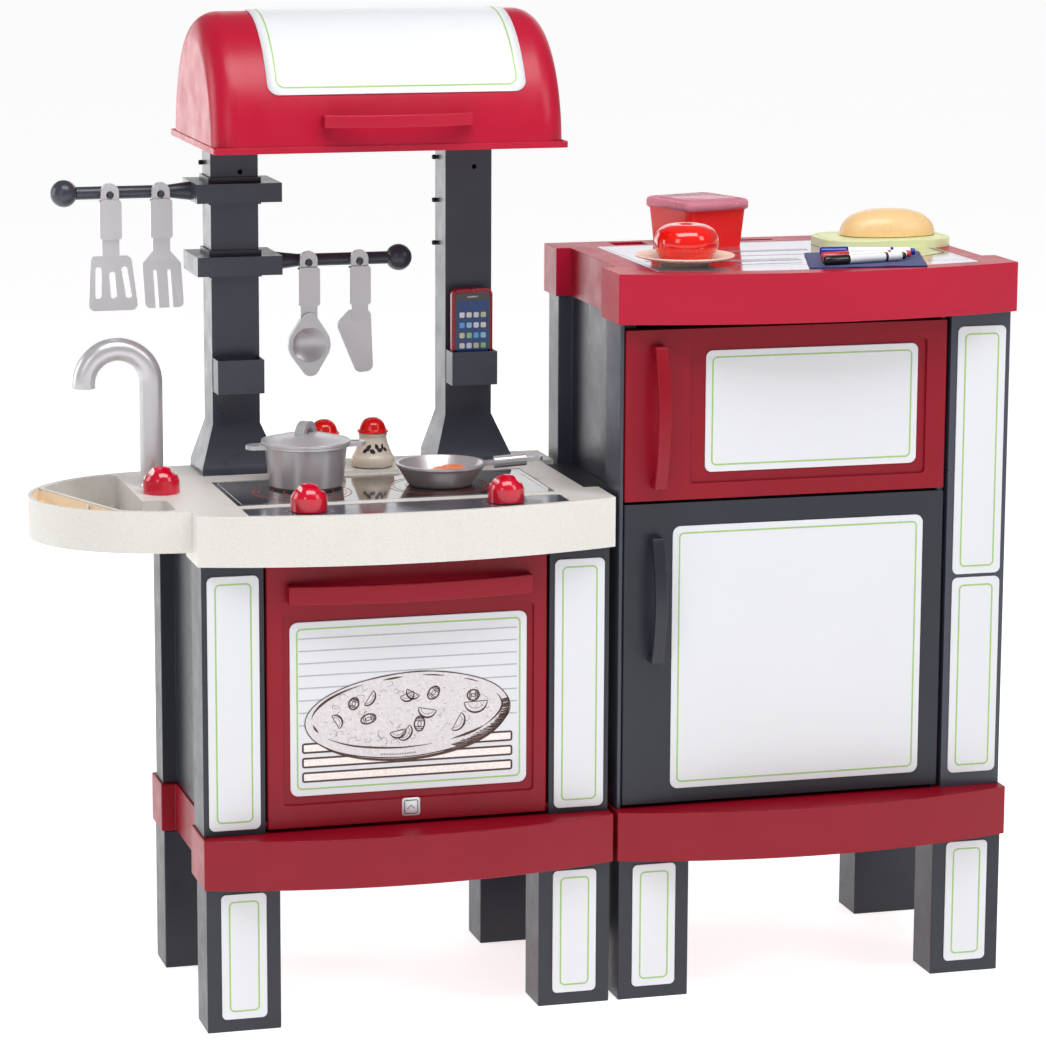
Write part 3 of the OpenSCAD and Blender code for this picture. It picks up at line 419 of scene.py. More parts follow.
def round_rect(u0, u1, v0, v1, r, n=8):
    """Closed outline of a rectangle with rounded corners."""
    out = []
    for cu, cv, start in ((u1 - r, v0 + r, -90), (u1 - r, v1 - r, 0),
                          (u0 + r, v1 - r, 90), (u0 + r, v0 + r, 180)):
        for i in range(n + 1):
            a = math.radians(start + 90 * i / n)
            out.append((cu + r * math.cos(a), cv + r * math.sin(a)))
    return out


def ribbon(points, width, place, closed=True, widths=None):
    """A flat printed line along 2D points; place(u, v) puts it on its surface."""
    n = len(points)
    verts = []
    for i, p in enumerate(points):
        a = Vector(points[i - 1] if closed or i else points[0])
        b = Vector(points[(i + 1) % n] if closed or i < n - 1 else points[-1])
        t = (b - a).normalized()
        w = (widths[i] if widths else width) / 2
        for s in (1, -1):
            verts.append(place(p[0] - t.y * w * s, p[1] + t.x * w * s))
    faces = [(2 * i, 2 * i + 1, 2 * ((i + 1) % n) + 1, 2 * ((i + 1) % n))
             for i in range(n if closed else n - 1)]
    return verts, faces


def patch(outline, place):
    """A flat printed patch."""
    cu = sum(p[0] for p in outline) / len(outline)
    cv = sum(p[1] for p in outline) / len(outline)
    verts = [place(cu, cv)] + [place(u, v) for u, v in outline]
    n = len(outline)
    return verts, [(0, 1 + i, 1 + (i + 1) % n) for i in range(n)]


def oval(cu, cv, a, b, turn=0, n=40, rough=0.0, start=0, end=360):
    """Points round an ellipse, or along an arc of it; rough makes the line waver."""
    out = []
    t = math.radians(turn)
    full = end - start == 360
    for i in range(n if full else n + 1):
        w = math.radians(start + (end - start) * i / n)
        k = 1 + rough * noise.noise((math.cos(w) * 2 + cu * 50, math.sin(w) * 2, cv * 40))
        x, y = a * k * math.cos(w), b * k * math.sin(w)
        out.append((cu + x * math.cos(t) - y * math.sin(t), cv + x * math.sin(t) + y * math.cos(t)))
    return out


def islands(node):
    """Vertices of each of a node's separate solids."""
    bm = bmesh.new()
    bm.from_mesh(NODES[node].data)
    bmesh.ops.remove_doubles(bm, verts=bm.verts, dist=1e-5)
    left, out = set(bm.verts), []
    while left:
        stack, seen = [left.pop()], []
        while stack:
            v = stack.pop()
            seen.append(v.co.copy())
            for e in v.link_edges:
                w = e.other_vert(v)
                if w in left:
                    left.discard(w)
                    stack.append(w)
        out.append(seen)
    bm.free()
    return out


def span(points):
    """Lowest and highest corner."""
    return Vector(map(min, zip(*points))), Vector(map(max, zip(*points)))


# ---------- printed dry-erase boards ----------

def front_plane(y, lift=0.15):
    """Places (u, v) on a front face at y, lift mm proud of it."""
    return lambda u, v: (u, y - lift * mm, v)


def board_line(name, lo, hi, like, inset):
    """The green line inside a board's edge."""
    i = inset * mm
    points = round_rect(lo.x + i, hi.x - i, lo.z + i, hi.z - i, 4.5 * mm)
    piece(name, *ribbon(points, 1.5 * mm, front_plane(lo.y)), like, INK["green"], smooth=False)


for k, (lo, hi) in enumerate(sorted(map(span, islands("dry_erase_boards")),
                                    key=lambda b: tuple(b[0]))):
    board_line(f"board_line_{k}", lo, hi, "dry_erase_boards", 8)
for node in ("upper_door_board", "fridge_door_board", "oven_door_board"):
    board_line(node + "_line", *BOX[node], node, 7)


def half_slice(u, v, a, b, turn, place):
    """Sketched half slice: rind arc, straight cut and a thin inner arc."""
    arc = oval(u, v, a, b, turn, 14, 0, 0, 180)
    inner = oval(u, v, a * 0.7, b * 0.62, turn, 10, 0, 8, 172)
    return [ribbon(arc, 0, place, False,
                   widths=[(0.7 + 1.2 * math.sin(math.pi * i / 14)) * mm for i in range(15)]),
            ribbon([arc[0], arc[-1]], 0.8 * mm, place, False),
            ribbon(inner, 0.4 * mm, place, False)]


def olive(u, v, a, b, turn, place):
    """Sketched olive: heavy outline, hatching and a pale middle."""
    out = [ribbon(oval(u, v, a, b, turn, 24, 0.06), 1.5 * mm, place),
           ribbon(oval(u, v, a * 0.34, b * 0.34, turn, 14), 0.7 * mm, place)]
    t = math.radians(turn)
    for q in (-0.62, -0.4, 0.4, 0.62, 0.78):
        c, d = q * a, b * math.sqrt(1 - q * q) * 0.9
        ends = [(u + c * math.cos(t) - e * math.sin(t), v + c * math.sin(t) + e * math.cos(t))
                for e in (-d, d)]
        out.append(ribbon(ends, 0.8 * mm, place, False))
    return out


def oven_print():
    """Grey rack lines, three brown grate bars and a sketched pizza on the oven door's board."""
    lo, hi = BOX["oven_door_board"]
    w, h = hi.x - lo.x, hi.z - lo.z
    at = lambda u, v: (lo.x + u * w, lo.z + v * h)
    level = lambda lift: front_plane(lo.y, lift)
    rack = [ribbon([at(0.036, v), at(0.958, v)], 1.3 * mm, level(0.1), False)
            for v in [0.905 - 0.071 * k for k in range(8)]]
    piece("oven_rack_print", *merge(rack), "oven_door_board", INK["grey"], smooth=False)
    bars, lines = [], []
    for v in (0.1077, 0.1916, 0.2755):
        (u0, v0), (u1, v1) = at(0.052, v - 0.025), at(0.936, v + 0.025)
        pts = round_rect(u0, u1, v0, v1, 1.6 * mm, 4)
        bars.append(patch(pts, level(0.12)))
        lines.append(ribbon(pts, 1.9 * mm, level(0.15)))
    piece("oven_grate_fill", *merge(bars), "oven_door_board", INK["blush"], smooth=False)
    piece("oven_grate_print", *merge(lines), "oven_door_board", INK["brown"], smooth=False)
    cu, cv = at(0.495, 0.436)
    a, b, tilt = 0.434 * w, 0.243 * h, 2.6
    piece("pizza_ground", *patch(oval(cu, cv, a, b, tilt, 72), level(0.3)), "oven_door_board",
          INK["pale"], smooth=False)
    top, ink = level(0.4), []
    ink.append(ribbon(oval(cu, cv, a, b, tilt, 96, 0.012), 0, top,
                      widths=[(0.9 + 0.8 * abs(noise.noise((i * 0.2, 0, 3)))) * mm
                              for i in range(96)]))
    crust = (cu - 0.5 * mm, cv + 3 * mm)
    for start, end, width in ((-38, 16, 1.6), (40, 52, 0.8), (66, 80, 1.0), (92, 104, 1.6),
                              (118, 176, 2.2), (186, 200, 1.8), (212, 284, 1.6), (296, 322, 2.2)):
        n = max(6, (end - start) // 3)
        ink.append(ribbon(oval(*crust, a * 0.925, b * 0.84, tilt, n, 0.025, start, end), 0, top,
                          False, widths=[(0.35 + width * math.sin(math.pi * i / n)) * mm
                                         for i in range(n + 1)]))
    for k in range(64):
        t = -62 + 72 * k / 64
        s = 0.93 + 0.05 * noise.noise((k * 0.7, 2, 1))
        (u0, v0), (u1, v1) = [oval(cu, cv + (1 - q) * 12 * mm, a * q, b * q, tilt, 1, 0,
                                   t - 2.2 * f, t + 9)[0] for q, f in ((s, 1), (0.995, 0))]
        ink.append(ribbon([(u0, v0), (u1, v1)], 0.8 * mm, top, False))
    for k in range(22):
        t = 252 + 22 * k / 22
        (u0, v0), (u1, v1) = [oval(cu, cv, a * q, b * q, tilt, 1, 0, t, t + 9)[0]
                              for q in (0.9, 0.945)]
        ink.append(ribbon([(u0, v0), (u1 + 1 * mm, v1)], 0.6 * mm, top, False))
    under = oval(cu + 1 * mm, cv - 2.4 * mm, a * 0.97, b * 1.0, tilt, 60, 0.01, 206, 356)
    ink.append(ribbon(under, 0, top, False,
                      widths=[(0.6 + 2.2 * math.sin(math.pi * i / 60)) * mm for i in range(61)]))
    for u, v, p, q, turn in ((0.266, 0.517, 5.9, 4.9, 70), (0.603, 0.554, 7.0, 5.0, 50),
                             (0.327, 0.425, 7.6, 4.6, 12), (0.543, 0.379, 7.4, 5.0, 84),
                             (0.771, 0.526, 6.0, 5.4, 0)):
        ink += olive(*at(u, v), p * mm, q * mm, turn, top)
    for u, v, p, q, turn in ((0.329, 0.546, 8.2, 6.0, 238), (0.489, 0.556, 7.0, 7.5, 200),
                             (0.517, 0.563, 7.0, 6.5, 150), (0.782, 0.489, 11.5, 11.0, 182),
                             (0.577, 0.462, 9.0, 8.5, 168), (0.189, 0.416, 7.4, 6.6, 300),
                             (0.452, 0.345, 8.0, 7.0, 190), (0.478, 0.336, 8.6, 7.4, 232),
                             (0.700, 0.380, 9.6, 8.0, 240)):
        ink += half_slice(*at(u, v), p * mm, q * mm, turn, top)
    for k in range(150):
        x, y = rng.uniform(-0.84, 0.84), rng.uniform(-0.75, 0.75)
        if x * x + y * y > 0.68:
            continue
        u, v, t = cu + x * a, cv + y * b, rng.uniform(0, 360)
        if k % 4:
            step = rng.uniform(1.5, 3.6) * mm
            ink.append(ribbon([(u, v), (u + step * math.cos(t), v + step * 0.5 * math.sin(t))],
                              0.35 * mm, top, False))
        else:
            curl = oval(u, v, rng.uniform(2.4, 5) * mm, rng.uniform(1.6, 3) * mm, t, 12, 0.2,
                        0, 230)
            ink.append(ribbon(curl, 0.3 * mm, top, False))
    piece("pizza_lines", *merge(ink), "oven_door_board", INK["brown"], smooth=False)


oven_print()


# hood board: the line follows the barrel's half ellipse
hlo, hhi = BOX["hood"]
HY, HZ = (hlo.y + hhi.y) / 2, hlo.z
HA, HH = (hhi.y - hlo.y) / 2, hhi.z - hlo.z


def on_hood(u, angle, out):
    """A point on the hood at x = u, angle degrees up from the front, out proud of it."""
    a = math.radians(angle)
    return (u, HY - (HA + out) * math.cos(a), HZ + (HH + out) * math.sin(a))


def hood_print():
    """The green line on the hood's board, bent round the barrel."""
    lo, hi = BOX["hood_board"]
    a0 = math.degrees(math.asin((lo.z - HZ) / HH)) + 3.2
    per = math.pi / 180 * HH
    outline = round_rect(lo.x + 9 * mm, hi.x - 9 * mm, 0, (93.5 - a0) * per, 8 * mm, 6)
    dense = []
    for i, p in enumerate(outline):
        q = outline[(i + 1) % len(outline)]
        steps = max(1, int(math.dist(p, q) / (4 * mm)))
        dense += [(p[0] + (q[0] - p[0]) * k / steps, p[1] + (q[1] - p[1]) * k / steps)
                  for k in range(steps)]
    place = lambda u, v: on_hood(u, a0 + v / per, 1.65 * mm)
    piece("hood_board_line", *ribbon(dense, 1.5 * mm, place), "hood_board", INK["green"])


def hood_skin():
    """The hood's board with rounded corners, bent round the barrel."""
    lo, hi = BOX["hood_board"]
    a0, a1 = math.degrees(math.asin((lo.z - HZ) / HH)), 97
    mid, half, r = (lo.x + hi.x) / 2, (hi.x - lo.x) / 2, 11 * mm
    length = math.radians(a1 - a0) * HH
    turns = [length * k / 40 for k in range(41)]
    corner = [r * (1 - math.cos(math.radians(t))) for t in range(6, 91, 12)]
    verts, cols = [], 25
    rows = sorted(set([0] + turns[1:-1] + corner + [length - c for c in corner] + [length]))
    for v in rows:
        d = min(v, length - v)
        cut = r - math.sqrt(max(0, r * r - (r - d) ** 2)) if d < r else 0
        for j in range(cols):
            u = mid + (half - cut) * (2 * j / (cols - 1) - 1)
            verts.append(on_hood(u, a0 + (a1 - a0) * v / length, 0.75 * mm))
    piece("hood_board_skin", verts, grid_faces(len(rows), cols), "hood_board", solid=1.2 * mm,
          replaces=("hood_board",))


hood_print()
hood_skin()


# ---------- hood lip ----------

def hood_lip():
    """Thin proud band round the hood's lower edge."""
    cx = (hlo.x + hhi.x) / 2
    half = (hhi.x - hlo.x) / 2
    plan = round_rect(cx - half - 1.2 * mm, cx + half + 1.2 * mm, hlo.y - 1.2 * mm,
                      hhi.y + 1.2 * mm, 4 * mm, 5)
    inner = round_rect(cx - half + 1.5 * mm, cx + half - 1.5 * mm, hlo.y + 1.5 * mm,
                       hhi.y - 1.5 * mm, 2 * mm, 5)
    z0, z1 = hlo.z - 0.2 * mm, hlo.z + 6 * mm
    rings = [[(x, y, z0) for x, y in inner], [(x, y, z0) for x, y in plan],
             [(x, y, z1) for x, y in plan], [(x, y, z1) for x, y in inner]]
    verts = [v for r in rings + rings[:1] for v in r]
    piece("hood_lip", verts, grid_faces(5, len(plan), True), "hood", bevel=0.5 * mm)


hood_lip()


# ---------- hob ----------

def hob_prints():
    """Burner rings and border on the hob, and the ticks round each control knob."""
    lo, hi = BOX["hob_panel"]
    flat = lambda u, v: (u, v, hi.z + 0.15 * mm)
    rings = []
    w, d = hi.x - lo.x, hi.y - lo.y
    for fu, fv, r in ((0.24, 0.44, 48), (0.68, 0.47, 50)):
        c = (lo.x + fu * w, lo.y + fv * d)
        for k, (rr, t) in enumerate(((r, 1.6), (r - 5, 0.9), (r - 17, 0.9), (r - 30, 1.2))):
            rings.append(ribbon(oval(*c, rr * mm, rr * mm, 0, 72), t * mm, flat))
    piece("burner_rings", *merge(rings), "hob_panel", INK["ember"], smooth=False)
    frame_line = round_rect(lo.x + 5 * mm, hi.x - 5 * mm, lo.y + 5 * mm, hi.y - 5 * mm, 4 * mm)
    piece("hob_border", *ribbon(frame_line, 0.7 * mm, flat), "hob_panel", INK["white"],
          smooth=False)
    strip = BOX["control_strip"][1]
    ticks = []
    for knob in ("hob_knob_left", "hob_knob_right"):
        klo, khi = BOX[knob]
        c = (klo + khi) / 2
        for k in range(9):
            a = math.radians(200 - k * 27.5)
            r0, r1 = 20.5 * mm, (22.5 + 0.3 * k) * mm
            p = [(c.x + r * math.cos(a), c.y + r * math.sin(a) * 0.98) for r in (r0, r1)]
            if p[1][1] < strip.y - 1 * mm:
                ticks.append(ribbon(p, 1.1 * mm, lambda u, v: (u, v, strip.z + 0.12 * mm), False))
    piece("knob_ticks", *merge(ticks), "control_strip", INK["white"], smooth=False)


hob_prints()


# ---------- sink pocket ----------

def sink_pocket():
    """Tan sheet of painted shade in the small pocket, standing in for its cream walls in shadow,
    and the thin white tab across it.
    """
    lo, hi = BOX["sink"]
    tip = lo.x
    cx, cy = tip + 144 * mm, (lo.y + hi.y) / 2
    a, b = 139.4 * mm, 109.4 * mm
    on = Vector((tip + 41.6 * mm, cy - 19 * mm))
    way = Vector((-math.sin(math.radians(21.5)), math.cos(math.radians(21.5))))
    out = Vector((-way.y, way.x))
    on += out * 0.5 * mm
    arc = []
    for i in range(721):
        t = math.radians(90 + i * 0.25)
        p = Vector((cx + a * math.cos(t), cy + b * math.sin(t)))
        if (p - on).dot(out) > 0:
            arc.append(p)
    ring = arc + [arc[-1].lerp(arc[0], k / 12) for k in range(1, 12)]
    z0, z1 = hi.z - 22.8 * mm, hi.z - 1.2 * mm
    n = len(ring)
    verts = [(p.x, p.y, z) for z in (z1, z0) for p in ring]
    faces = grid_faces(2, n, True) + [tuple(n + k for k in range(n))]
    # painted shade: this tan sheet stands in for the shadowed cream walls of the pocket
    piece("pocket_shade_lining", verts, faces, "sink", MAT["pocket_tan"], solid=0.5 * mm)
    u = Vector((tip + 51 * mm, cy - 43 * mm))
    v = Vector((tip + 45 * mm, cy - 71 * mm))
    side = (v - u).normalized().orthogonal() * 0.7 * mm
    outline = [u + side, v + side, v - side, u - side]
    piece("pocket_tab", *prism([(p.x, p.y) for p in outline],
                               lambda x, y, w: (x, y, z0 + w), z1 - z0 + 0.4 * mm),
          "sink", bevel=0.3 * mm)


sink_pocket()


# ---------- fridge top film ----------

def film_prints():
    """Printed bands along the film and the pale bordered picture under the board."""
    lo, hi = BOX["top_panel"]
    z = hi.z + 0.12 * mm
    flat = lambda u, v: (u, v, z)
    inset = 4 * mm
    edge = [(lo.x + inset, hi.y - inset), (hi.x - inset, hi.y - inset),
            (hi.x - inset, lo.y + 40 * mm), (lo.x + inset, lo.y + 40 * mm)]
    piece("film_border", *ribbon(edge, 0.9 * mm, flat), "top_panel", INK["band"], smooth=False)
    bands = [patch([(lo.x + a * mm, lo.y + b * mm), (lo.x + c * mm, lo.y + b * mm),
                    (lo.x + c * mm, lo.y + (b + t) * mm), (lo.x + a * mm, lo.y + (b + t) * mm)],
                   flat)
             for a, c, b, t in ((88, 158, 52, 4), (70, 166, 74, 18), (64, 190, 118, 3),
                                (60, 200, 150, 12), (10, 60, 96, 3))]
    piece("film_bands", *merge(bands), "top_panel", INK["band"], smooth=False)
    corners = [(hi.x - q * mm, lo.y + v * mm) for q, v in ((58, 158), (8, 158), (8, 96), (44, 70))]
    piece("film_picture", *patch(corners, flat), "top_panel", INK["leaf"], smooth=False)
    rim = lambda u, v: (u, v, z + 0.1 * mm)
    piece("film_picture_border", *ribbon(corners, 2.2 * mm, rim), "top_panel", INK["dark"],
          smooth=False)


film_prints()


# ---------- phone ----------

def phone():
    """Red case, black front, blue screen with a grid of plain icons, and three keys."""
    lo, hi = BOX["phone"]
    c = (lo + hi) / 2
    w, h, t = (hi.x - lo.x) / 2, (hi.z - lo.z) / 2, hi.y - lo.y
    at = lambda y: (lambda u, v, d: (c.x + u, y + d, c.z + v))
    body = prism(round_rect(-w, w, -h, h, 7 * mm), at(lo.y), t)
    piece("phone_case", *body, "phone", bevel=1.6 * mm, replaces=("phone",))
    glass = prism(round_rect(-w + 3 * mm, w - 3 * mm, -h + 4 * mm, h - 4 * mm, 4 * mm),
                  at(lo.y - 0.5 * mm), 1 * mm)
    piece("phone_front", *glass, "phone", MAT["black_glass"], bevel=0.3 * mm)
    face = front_plane(lo.y - 0.5 * mm, 0.12)
    scr = round_rect(c.x - w + 5 * mm, c.x + w - 5 * mm, c.z - h + 15 * mm, c.z + h - 12 * mm,
                     1 * mm, 3)
    piece("phone_screen", *patch(scr, face), "phone", printed("screen_blue", (36, 66, 128), 0.12),
          smooth=False)
    tones = [(226, 232, 240), (150, 200, 130), (230, 226, 214), (90, 170, 230), (216, 222, 232),
             (150, 210, 240), (204, 206, 166)]
    by_tone = {}
    for r in range(5):
        for q in range(4):
            u, v = c.x + (q - 1.5) * 7.4 * mm, c.z + (21 - r * 10.4) * mm
            s = 2.7 * mm
            k = (r * 3 + q * 2) % len(tones)
            by_tone.setdefault(k, []).append(
                patch(round_rect(u - s, u + s, v - s, v + s, 1.3 * mm, 4),
                      front_plane(lo.y - 0.5 * mm, 0.24)))
    for k, parts in by_tone.items():
        piece(f"phone_icons_{k}", *merge(parts), "phone", printed(f"icon_{k}", tones[k], 0.2),
              smooth=False)
    keys = [prism(round_rect(c.x + u - 3.4 * mm, c.x + u + 3.4 * mm, c.z - h + 7 * mm,
                             c.z - h + 11 * mm, 1.5 * mm, 4),
                  lambda a, b, d: (a, lo.y - 0.5 * mm - d, b), 0.6 * mm)
            for u in (-10 * mm, 0, 10 * mm)]
    piece("phone_keys", *merge(keys), "phone", MAT["silver"], bevel=0.2 * mm)
    ear = prism(round_rect(c.x - 6 * mm, c.x + 6 * mm, c.z + h - 9 * mm, c.z + h - 7.4 * mm,
                           0.7 * mm, 3), lambda a, b, d: (a, lo.y - 0.5 * mm - d, b), 0.4 * mm)
    piece("phone_earpiece", *ear, "phone", MAT["silver"])


phone()


# ---------- food ----------

def bread():
    """Oval roll with three faint slanting cuts."""
    lo, hi = BOX["bread"]
    c = (lo + hi) / 2
    a, b, h = (hi.x - lo.x) / 2, (hi.y - lo.y) / 2, hi.z - lo.z
    n, m = 72, 30
    verts = []
    for i in range(m + 1):
        s = i / m
        z = h * math.sin(s * math.pi / 2) ** 1.15
        ring = math.cos(s * math.pi / 2) ** 0.62
        bulge = 1 + 0.03 * math.sin(s * math.pi)
        for j in range(n):
            t = 2 * math.pi * j / n
            k = (abs(math.cos(t)) ** 2.3 + abs(math.sin(t)) ** 2.3) ** (-1 / 2.3)
            x, y = a * k * ring * bulge * math.cos(t), b * k * ring * bulge * math.sin(t)
            cut = 0
            for q in (-0.45, -0.02, 0.42):
                d = (x / a - q) * 0.9 + (y / b) * 0.34
                near = max(0, 1 - abs(y / b + 0.05) / 0.7)
                cut += math.exp(-(d / 0.06) ** 2) * near
            dz = -0.45 * mm * cut * (s > 0.3) * min(1, (s - 0.3) * 3)
            lump = 0.4 * mm * noise.noise((x * 40, y * 40, z * 40))
            verts.append((c.x + x, c.y + y, lo.z + min(h, max(0, z + dz + lump * s))))
    faces = grid_faces(m + 1, n, True) + [tuple(range(n))[::-1]]
    piece("bread_roll", verts, faces, "bread", subdiv=1, replaces=("bread",))


def tomato():
    """Glossy hollow tomato: a plain base band, full sides and a shallow dimple on top."""
    lo, hi = BOX["tomato"]
    c = (lo + hi) / 2
    r, h = (hi.x - lo.x) / 2, hi.z - lo.z
    prof = [(0.0, 0.0), (0.72, 0.0), (0.80, 0.02), (0.845, 0.10), (0.875, 0.19), (0.885, 0.205),
            (0.915, 0.22), (0.975, 0.34), (1.0, 0.47), (0.99, 0.60), (0.945, 0.73), (0.85, 0.85),
            (0.70, 0.935), (0.52, 0.985), (0.36, 0.995), (0.22, 0.965), (0.12, 0.93), (0.0, 0.92)]
    prof = [(a * r, b * h) for a, b in prof]
    lobes = lambda a, rr, z: rr * (1 + (0.012 * math.cos(5 * a + 0.4)
                                        + 0.006 * math.cos(3 * a)) * min(1, z / h * 2))
    piece("tomato_body", *lathe(prof, (c.x, c.y, lo.z), 80, lobes), "tomato", subdiv=1,
          replaces=("tomato",))
    top = lo.z + h * 0.93
    nub = sweep([(c.x, c.y, top - 1.5 * mm), (c.x + 0.3 * mm, c.y, top + 0.6 * mm),
                 (c.x + 0.6 * mm, c.y, top + 1.6 * mm)], [1.8 * mm, 1.5 * mm, 1.1 * mm], 12)
    piece("tomato_nub", *nub, "tomato", subdiv=1)


def steak():
    """Slab with four pressed grooves, leaning a little on the pan's side."""
    lo, hi = BOX["steak"]
    c = (lo + hi) / 2
    a, b, h = (hi.x - lo.x) / 2, (hi.y - lo.y) / 2, hi.z - lo.z
    n, m = 56, 14
    verts = []
    for i in range(m + 1):
        s = i / m
        ring = math.cos(s * math.pi / 2) ** 0.35 if s < 1 else 0
        z = h * (0.1 + 0.84 * math.sin(s * math.pi / 2) ** 0.7)
        for j in range(n):
            t = 2 * math.pi * j / n
            k = 1 - 0.05 * math.cos(2 * t + 0.6) - 0.05 * math.cos(3 * t)
            x, y = a * 0.93 * k * ring * math.cos(t), b * 0.9 * k * ring * math.sin(t)
            groove = sum(math.exp(-(((x * 0.8 + y * 0.5) / mm - q) / 1.5) ** 2)
                         for q in (-16, -6, 4, 14))
            verts.append((c.x + x, c.y + y,
                          lo.z + z + 2.4 * mm * x / a - (1.3 * mm * groove if s > 0.35 else 0)
                          + 0.7 * mm * noise.noise((x * 90, y * 90, 1)) * s))
    faces = grid_faces(m + 1, n, True) + [tuple(range(n))[::-1]]
    piece("steak_slab", verts, faces, "steak", subdiv=1, replaces=("steak",))


def lid():
    """Clear snap-on lid: skirt, rolled rim and raised middle."""
    lo, hi = BOX["food_box_lid"]
    c = (lo + hi) / 2
    turn = math.radians(18)
    size = hi.x - lo.x
    r = 9 * mm
    half = (size / 2 - r) / (math.cos(turn) + math.sin(turn)) + r
    z0 = lo.z
    steps = [(0, 1.0), (0, 6), (0.8, 8.6), (2.4, 9.6), (4, 8.6), (4.6, 7), (9, 7), (10, 9.4),
             (11.6, 10.4)]
    verts = []
    for inset, z in steps:
        e = half - inset * mm
        ring = round_rect(-e, e, -e, e, max(2 * mm, r - inset * 0.5 * mm), 6)
        verts += [(c.x + x * math.cos(turn) - y * math.sin(turn),
                   c.y + x * math.sin(turn) + y * math.cos(turn), z0 + z * mm) for x, y in ring]
    n = len(verts) // len(steps)
    faces = grid_faces(len(steps), n, True) + [tuple(len(verts) - n + k for k in range(n))]
    piece("box_lid", verts, faces, "food_box_lid", solid=0.9 * mm, replaces=("food_box_lid",))


lid()
bread()
tomato()
steak()


# ---------- shakers ----------

def shaker(node):
    """Waisted body with a printed band of leaves, and a red domed cap with seven dark discs of
    painted shade where its holes would be.
    """
    lo, hi = BOX[node]
    c = (lo + hi) / 2
    r, h = (hi.x - lo.x) / 2, hi.z - lo.z
    prof = [(0, 0), (0.74, 0), (0.90, 0.02), (0.985, 0.07), (1.0, 0.13), (0.985, 0.19),
            (0.93, 0.235), (0.90, 0.25), (0.86, 0.28), (0.77, 0.38), (0.69, 0.48), (0.635, 0.57),
            (0.62, 0.63), (0.66, 0.64), (0.665, 0.69), (0.63, 0.70), (0.60, 0.72), (0, 0.72)]
    prof = [(a * r, b * h) for a, b in prof]
    v, f = lathe(prof, (c.x, c.y, lo.z), 64)
    piece(node + "_body", v, f, node, subdiv=1, replaces=(node,))
    cap = [(0.0, 0.70), (0.60, 0.70), (0.70, 0.70), (0.72, 0.72), (0.70, 0.74), (0.62, 0.75),
           (0.595, 0.80), (0.54, 0.87), (0.45, 0.93), (0.31, 0.975), (0.15, 0.995), (0.0, 1.0)]
    v, f = lathe([(a * r, b * h) for a, b in cap], (c.x, c.y, lo.z), 64)
    piece(node + "_cap", v, f, node, MAT["box_red"], "box_red", subdiv=1)
    # painted shade: the holes are not cut; each is a dark disc standing in for the shade down the
    # hole
    hole_shade_discs = []
    for k in range(7):
        a, q = 2 * math.pi * k / 6, (0.2 * r if k < 6 else 0)
        z = lo.z + h * (0.992 if k < 6 else 1.0)
        hole_shade_discs.append(patch(oval(c.x + q * math.cos(a), c.y + q * math.sin(a), 0.9 * mm, 0.9 * mm,
                                0, 12), lambda u, v: (u, v, z + 0.1 * mm)))
    piece(node + "_hole_shade", *merge(hole_shade_discs), node, INK["dark"], smooth=False)

    def wall(u, v):
        """Angle u (degrees) and height v (0 to 1) on the tapering side."""
        rr = r * (0.86 + (v - 0.28) / 0.29 * -0.225) + 0.3 * mm
        a = math.radians(u)
        return (c.x + rr * math.cos(a), c.y + rr * math.sin(a), lo.z + v * h)

    parts = []
    for u, v, s, turn in ((-128, 0.37, 0.8, 25), (-118, 0.43, 1.0, 40), (-104, 0.36, 0.9, -20),
                          (-88, 0.44, 0.9, -50), (-78, 0.38, 0.8, 15), (-68, 0.45, 0.7, 70),
                          (-58, 0.39, 0.7, -30)):
        leaf = [(u + p[0] * 2600 * s, v + p[1] * 20 * s)
                for p in oval(0, 0, 4.2 * mm, 2.4 * mm, turn, 20, 0.35)]
        parts.append(patch(leaf, wall))
    piece(node + "_print", *merge(parts), node, INK["dark"], smooth=False)


shaker("salt_shaker")
shaker("pepper_shaker")


# ---------- markers and cloth ----------

MARKER_INKS = [(22, 22, 24), (206, 40, 34), (36, 40, 160)]


def markers():
    """Three capped pens: cap, barrel, coloured band and end plug on each solid's own axis."""
    rows = sorted(islands("markers"), key=lambda points: span(points)[0].y)
    for k, points in enumerate(rows):
        lo, hi = span(points)
        r = (hi.z - lo.z) / 2
        ends = [[p for p in points if abs(p.x - x) < 2.2 * r] for x in (lo.x, hi.x)]
        a, b = [sum(e, Vector()) / len(e) for e in ends]
        a.z = b.z = lo.z + r
        t = (b - a).normalized()
        reach = [(p - a).dot(t) for p in points]
        a, length = a + t * min(reach), max(reach) - min(reach)
        rot = t.to_track_quat("Z", "Y").to_matrix()

        def along(parts):
            verts, faces = lathe([(q * mm, z * mm) for z, q in parts], (0, 0, 0), 28)
            return [a + rot @ Vector(v) for v in verts], faces

        ink = plastic(f"marker_cap_{k}", MARKER_INKS[k], 0.2, 0.03, 0.04, coat=0.3)
        cap = along([(0, 0), (0, 3), (0.6, 3.9), (2, 4.5), (20, 4.8), (25, 5), (28, 5), (28, 4.2),
                     (27, 0)])
        piece(f"marker_cap_{k}", *cap, "markers", ink, replaces=() if k else ("markers",))
        piece(f"marker_barrel_{k}", *along(
            [(27, 0), (27.6, 4.2), (29, 4.6), (32, 4.6), (32.4, 4.45), (86, 4.45), (89.4, 4.2),
             (90, 3.6), (90, 0)]), "markers")
        end = length / mm - 0.1
        piece(f"marker_plug_{k}", *along(
            [(89, 0), (90, 3.5), (end - 1, 3.4), (end, 2.6), (end, 0)]), "markers", ink)
        piece(f"marker_band_{k}", *along(
            [(70, 4.4), (70, 4.52), (73, 4.52), (73, 4.4)]), "markers", ink)


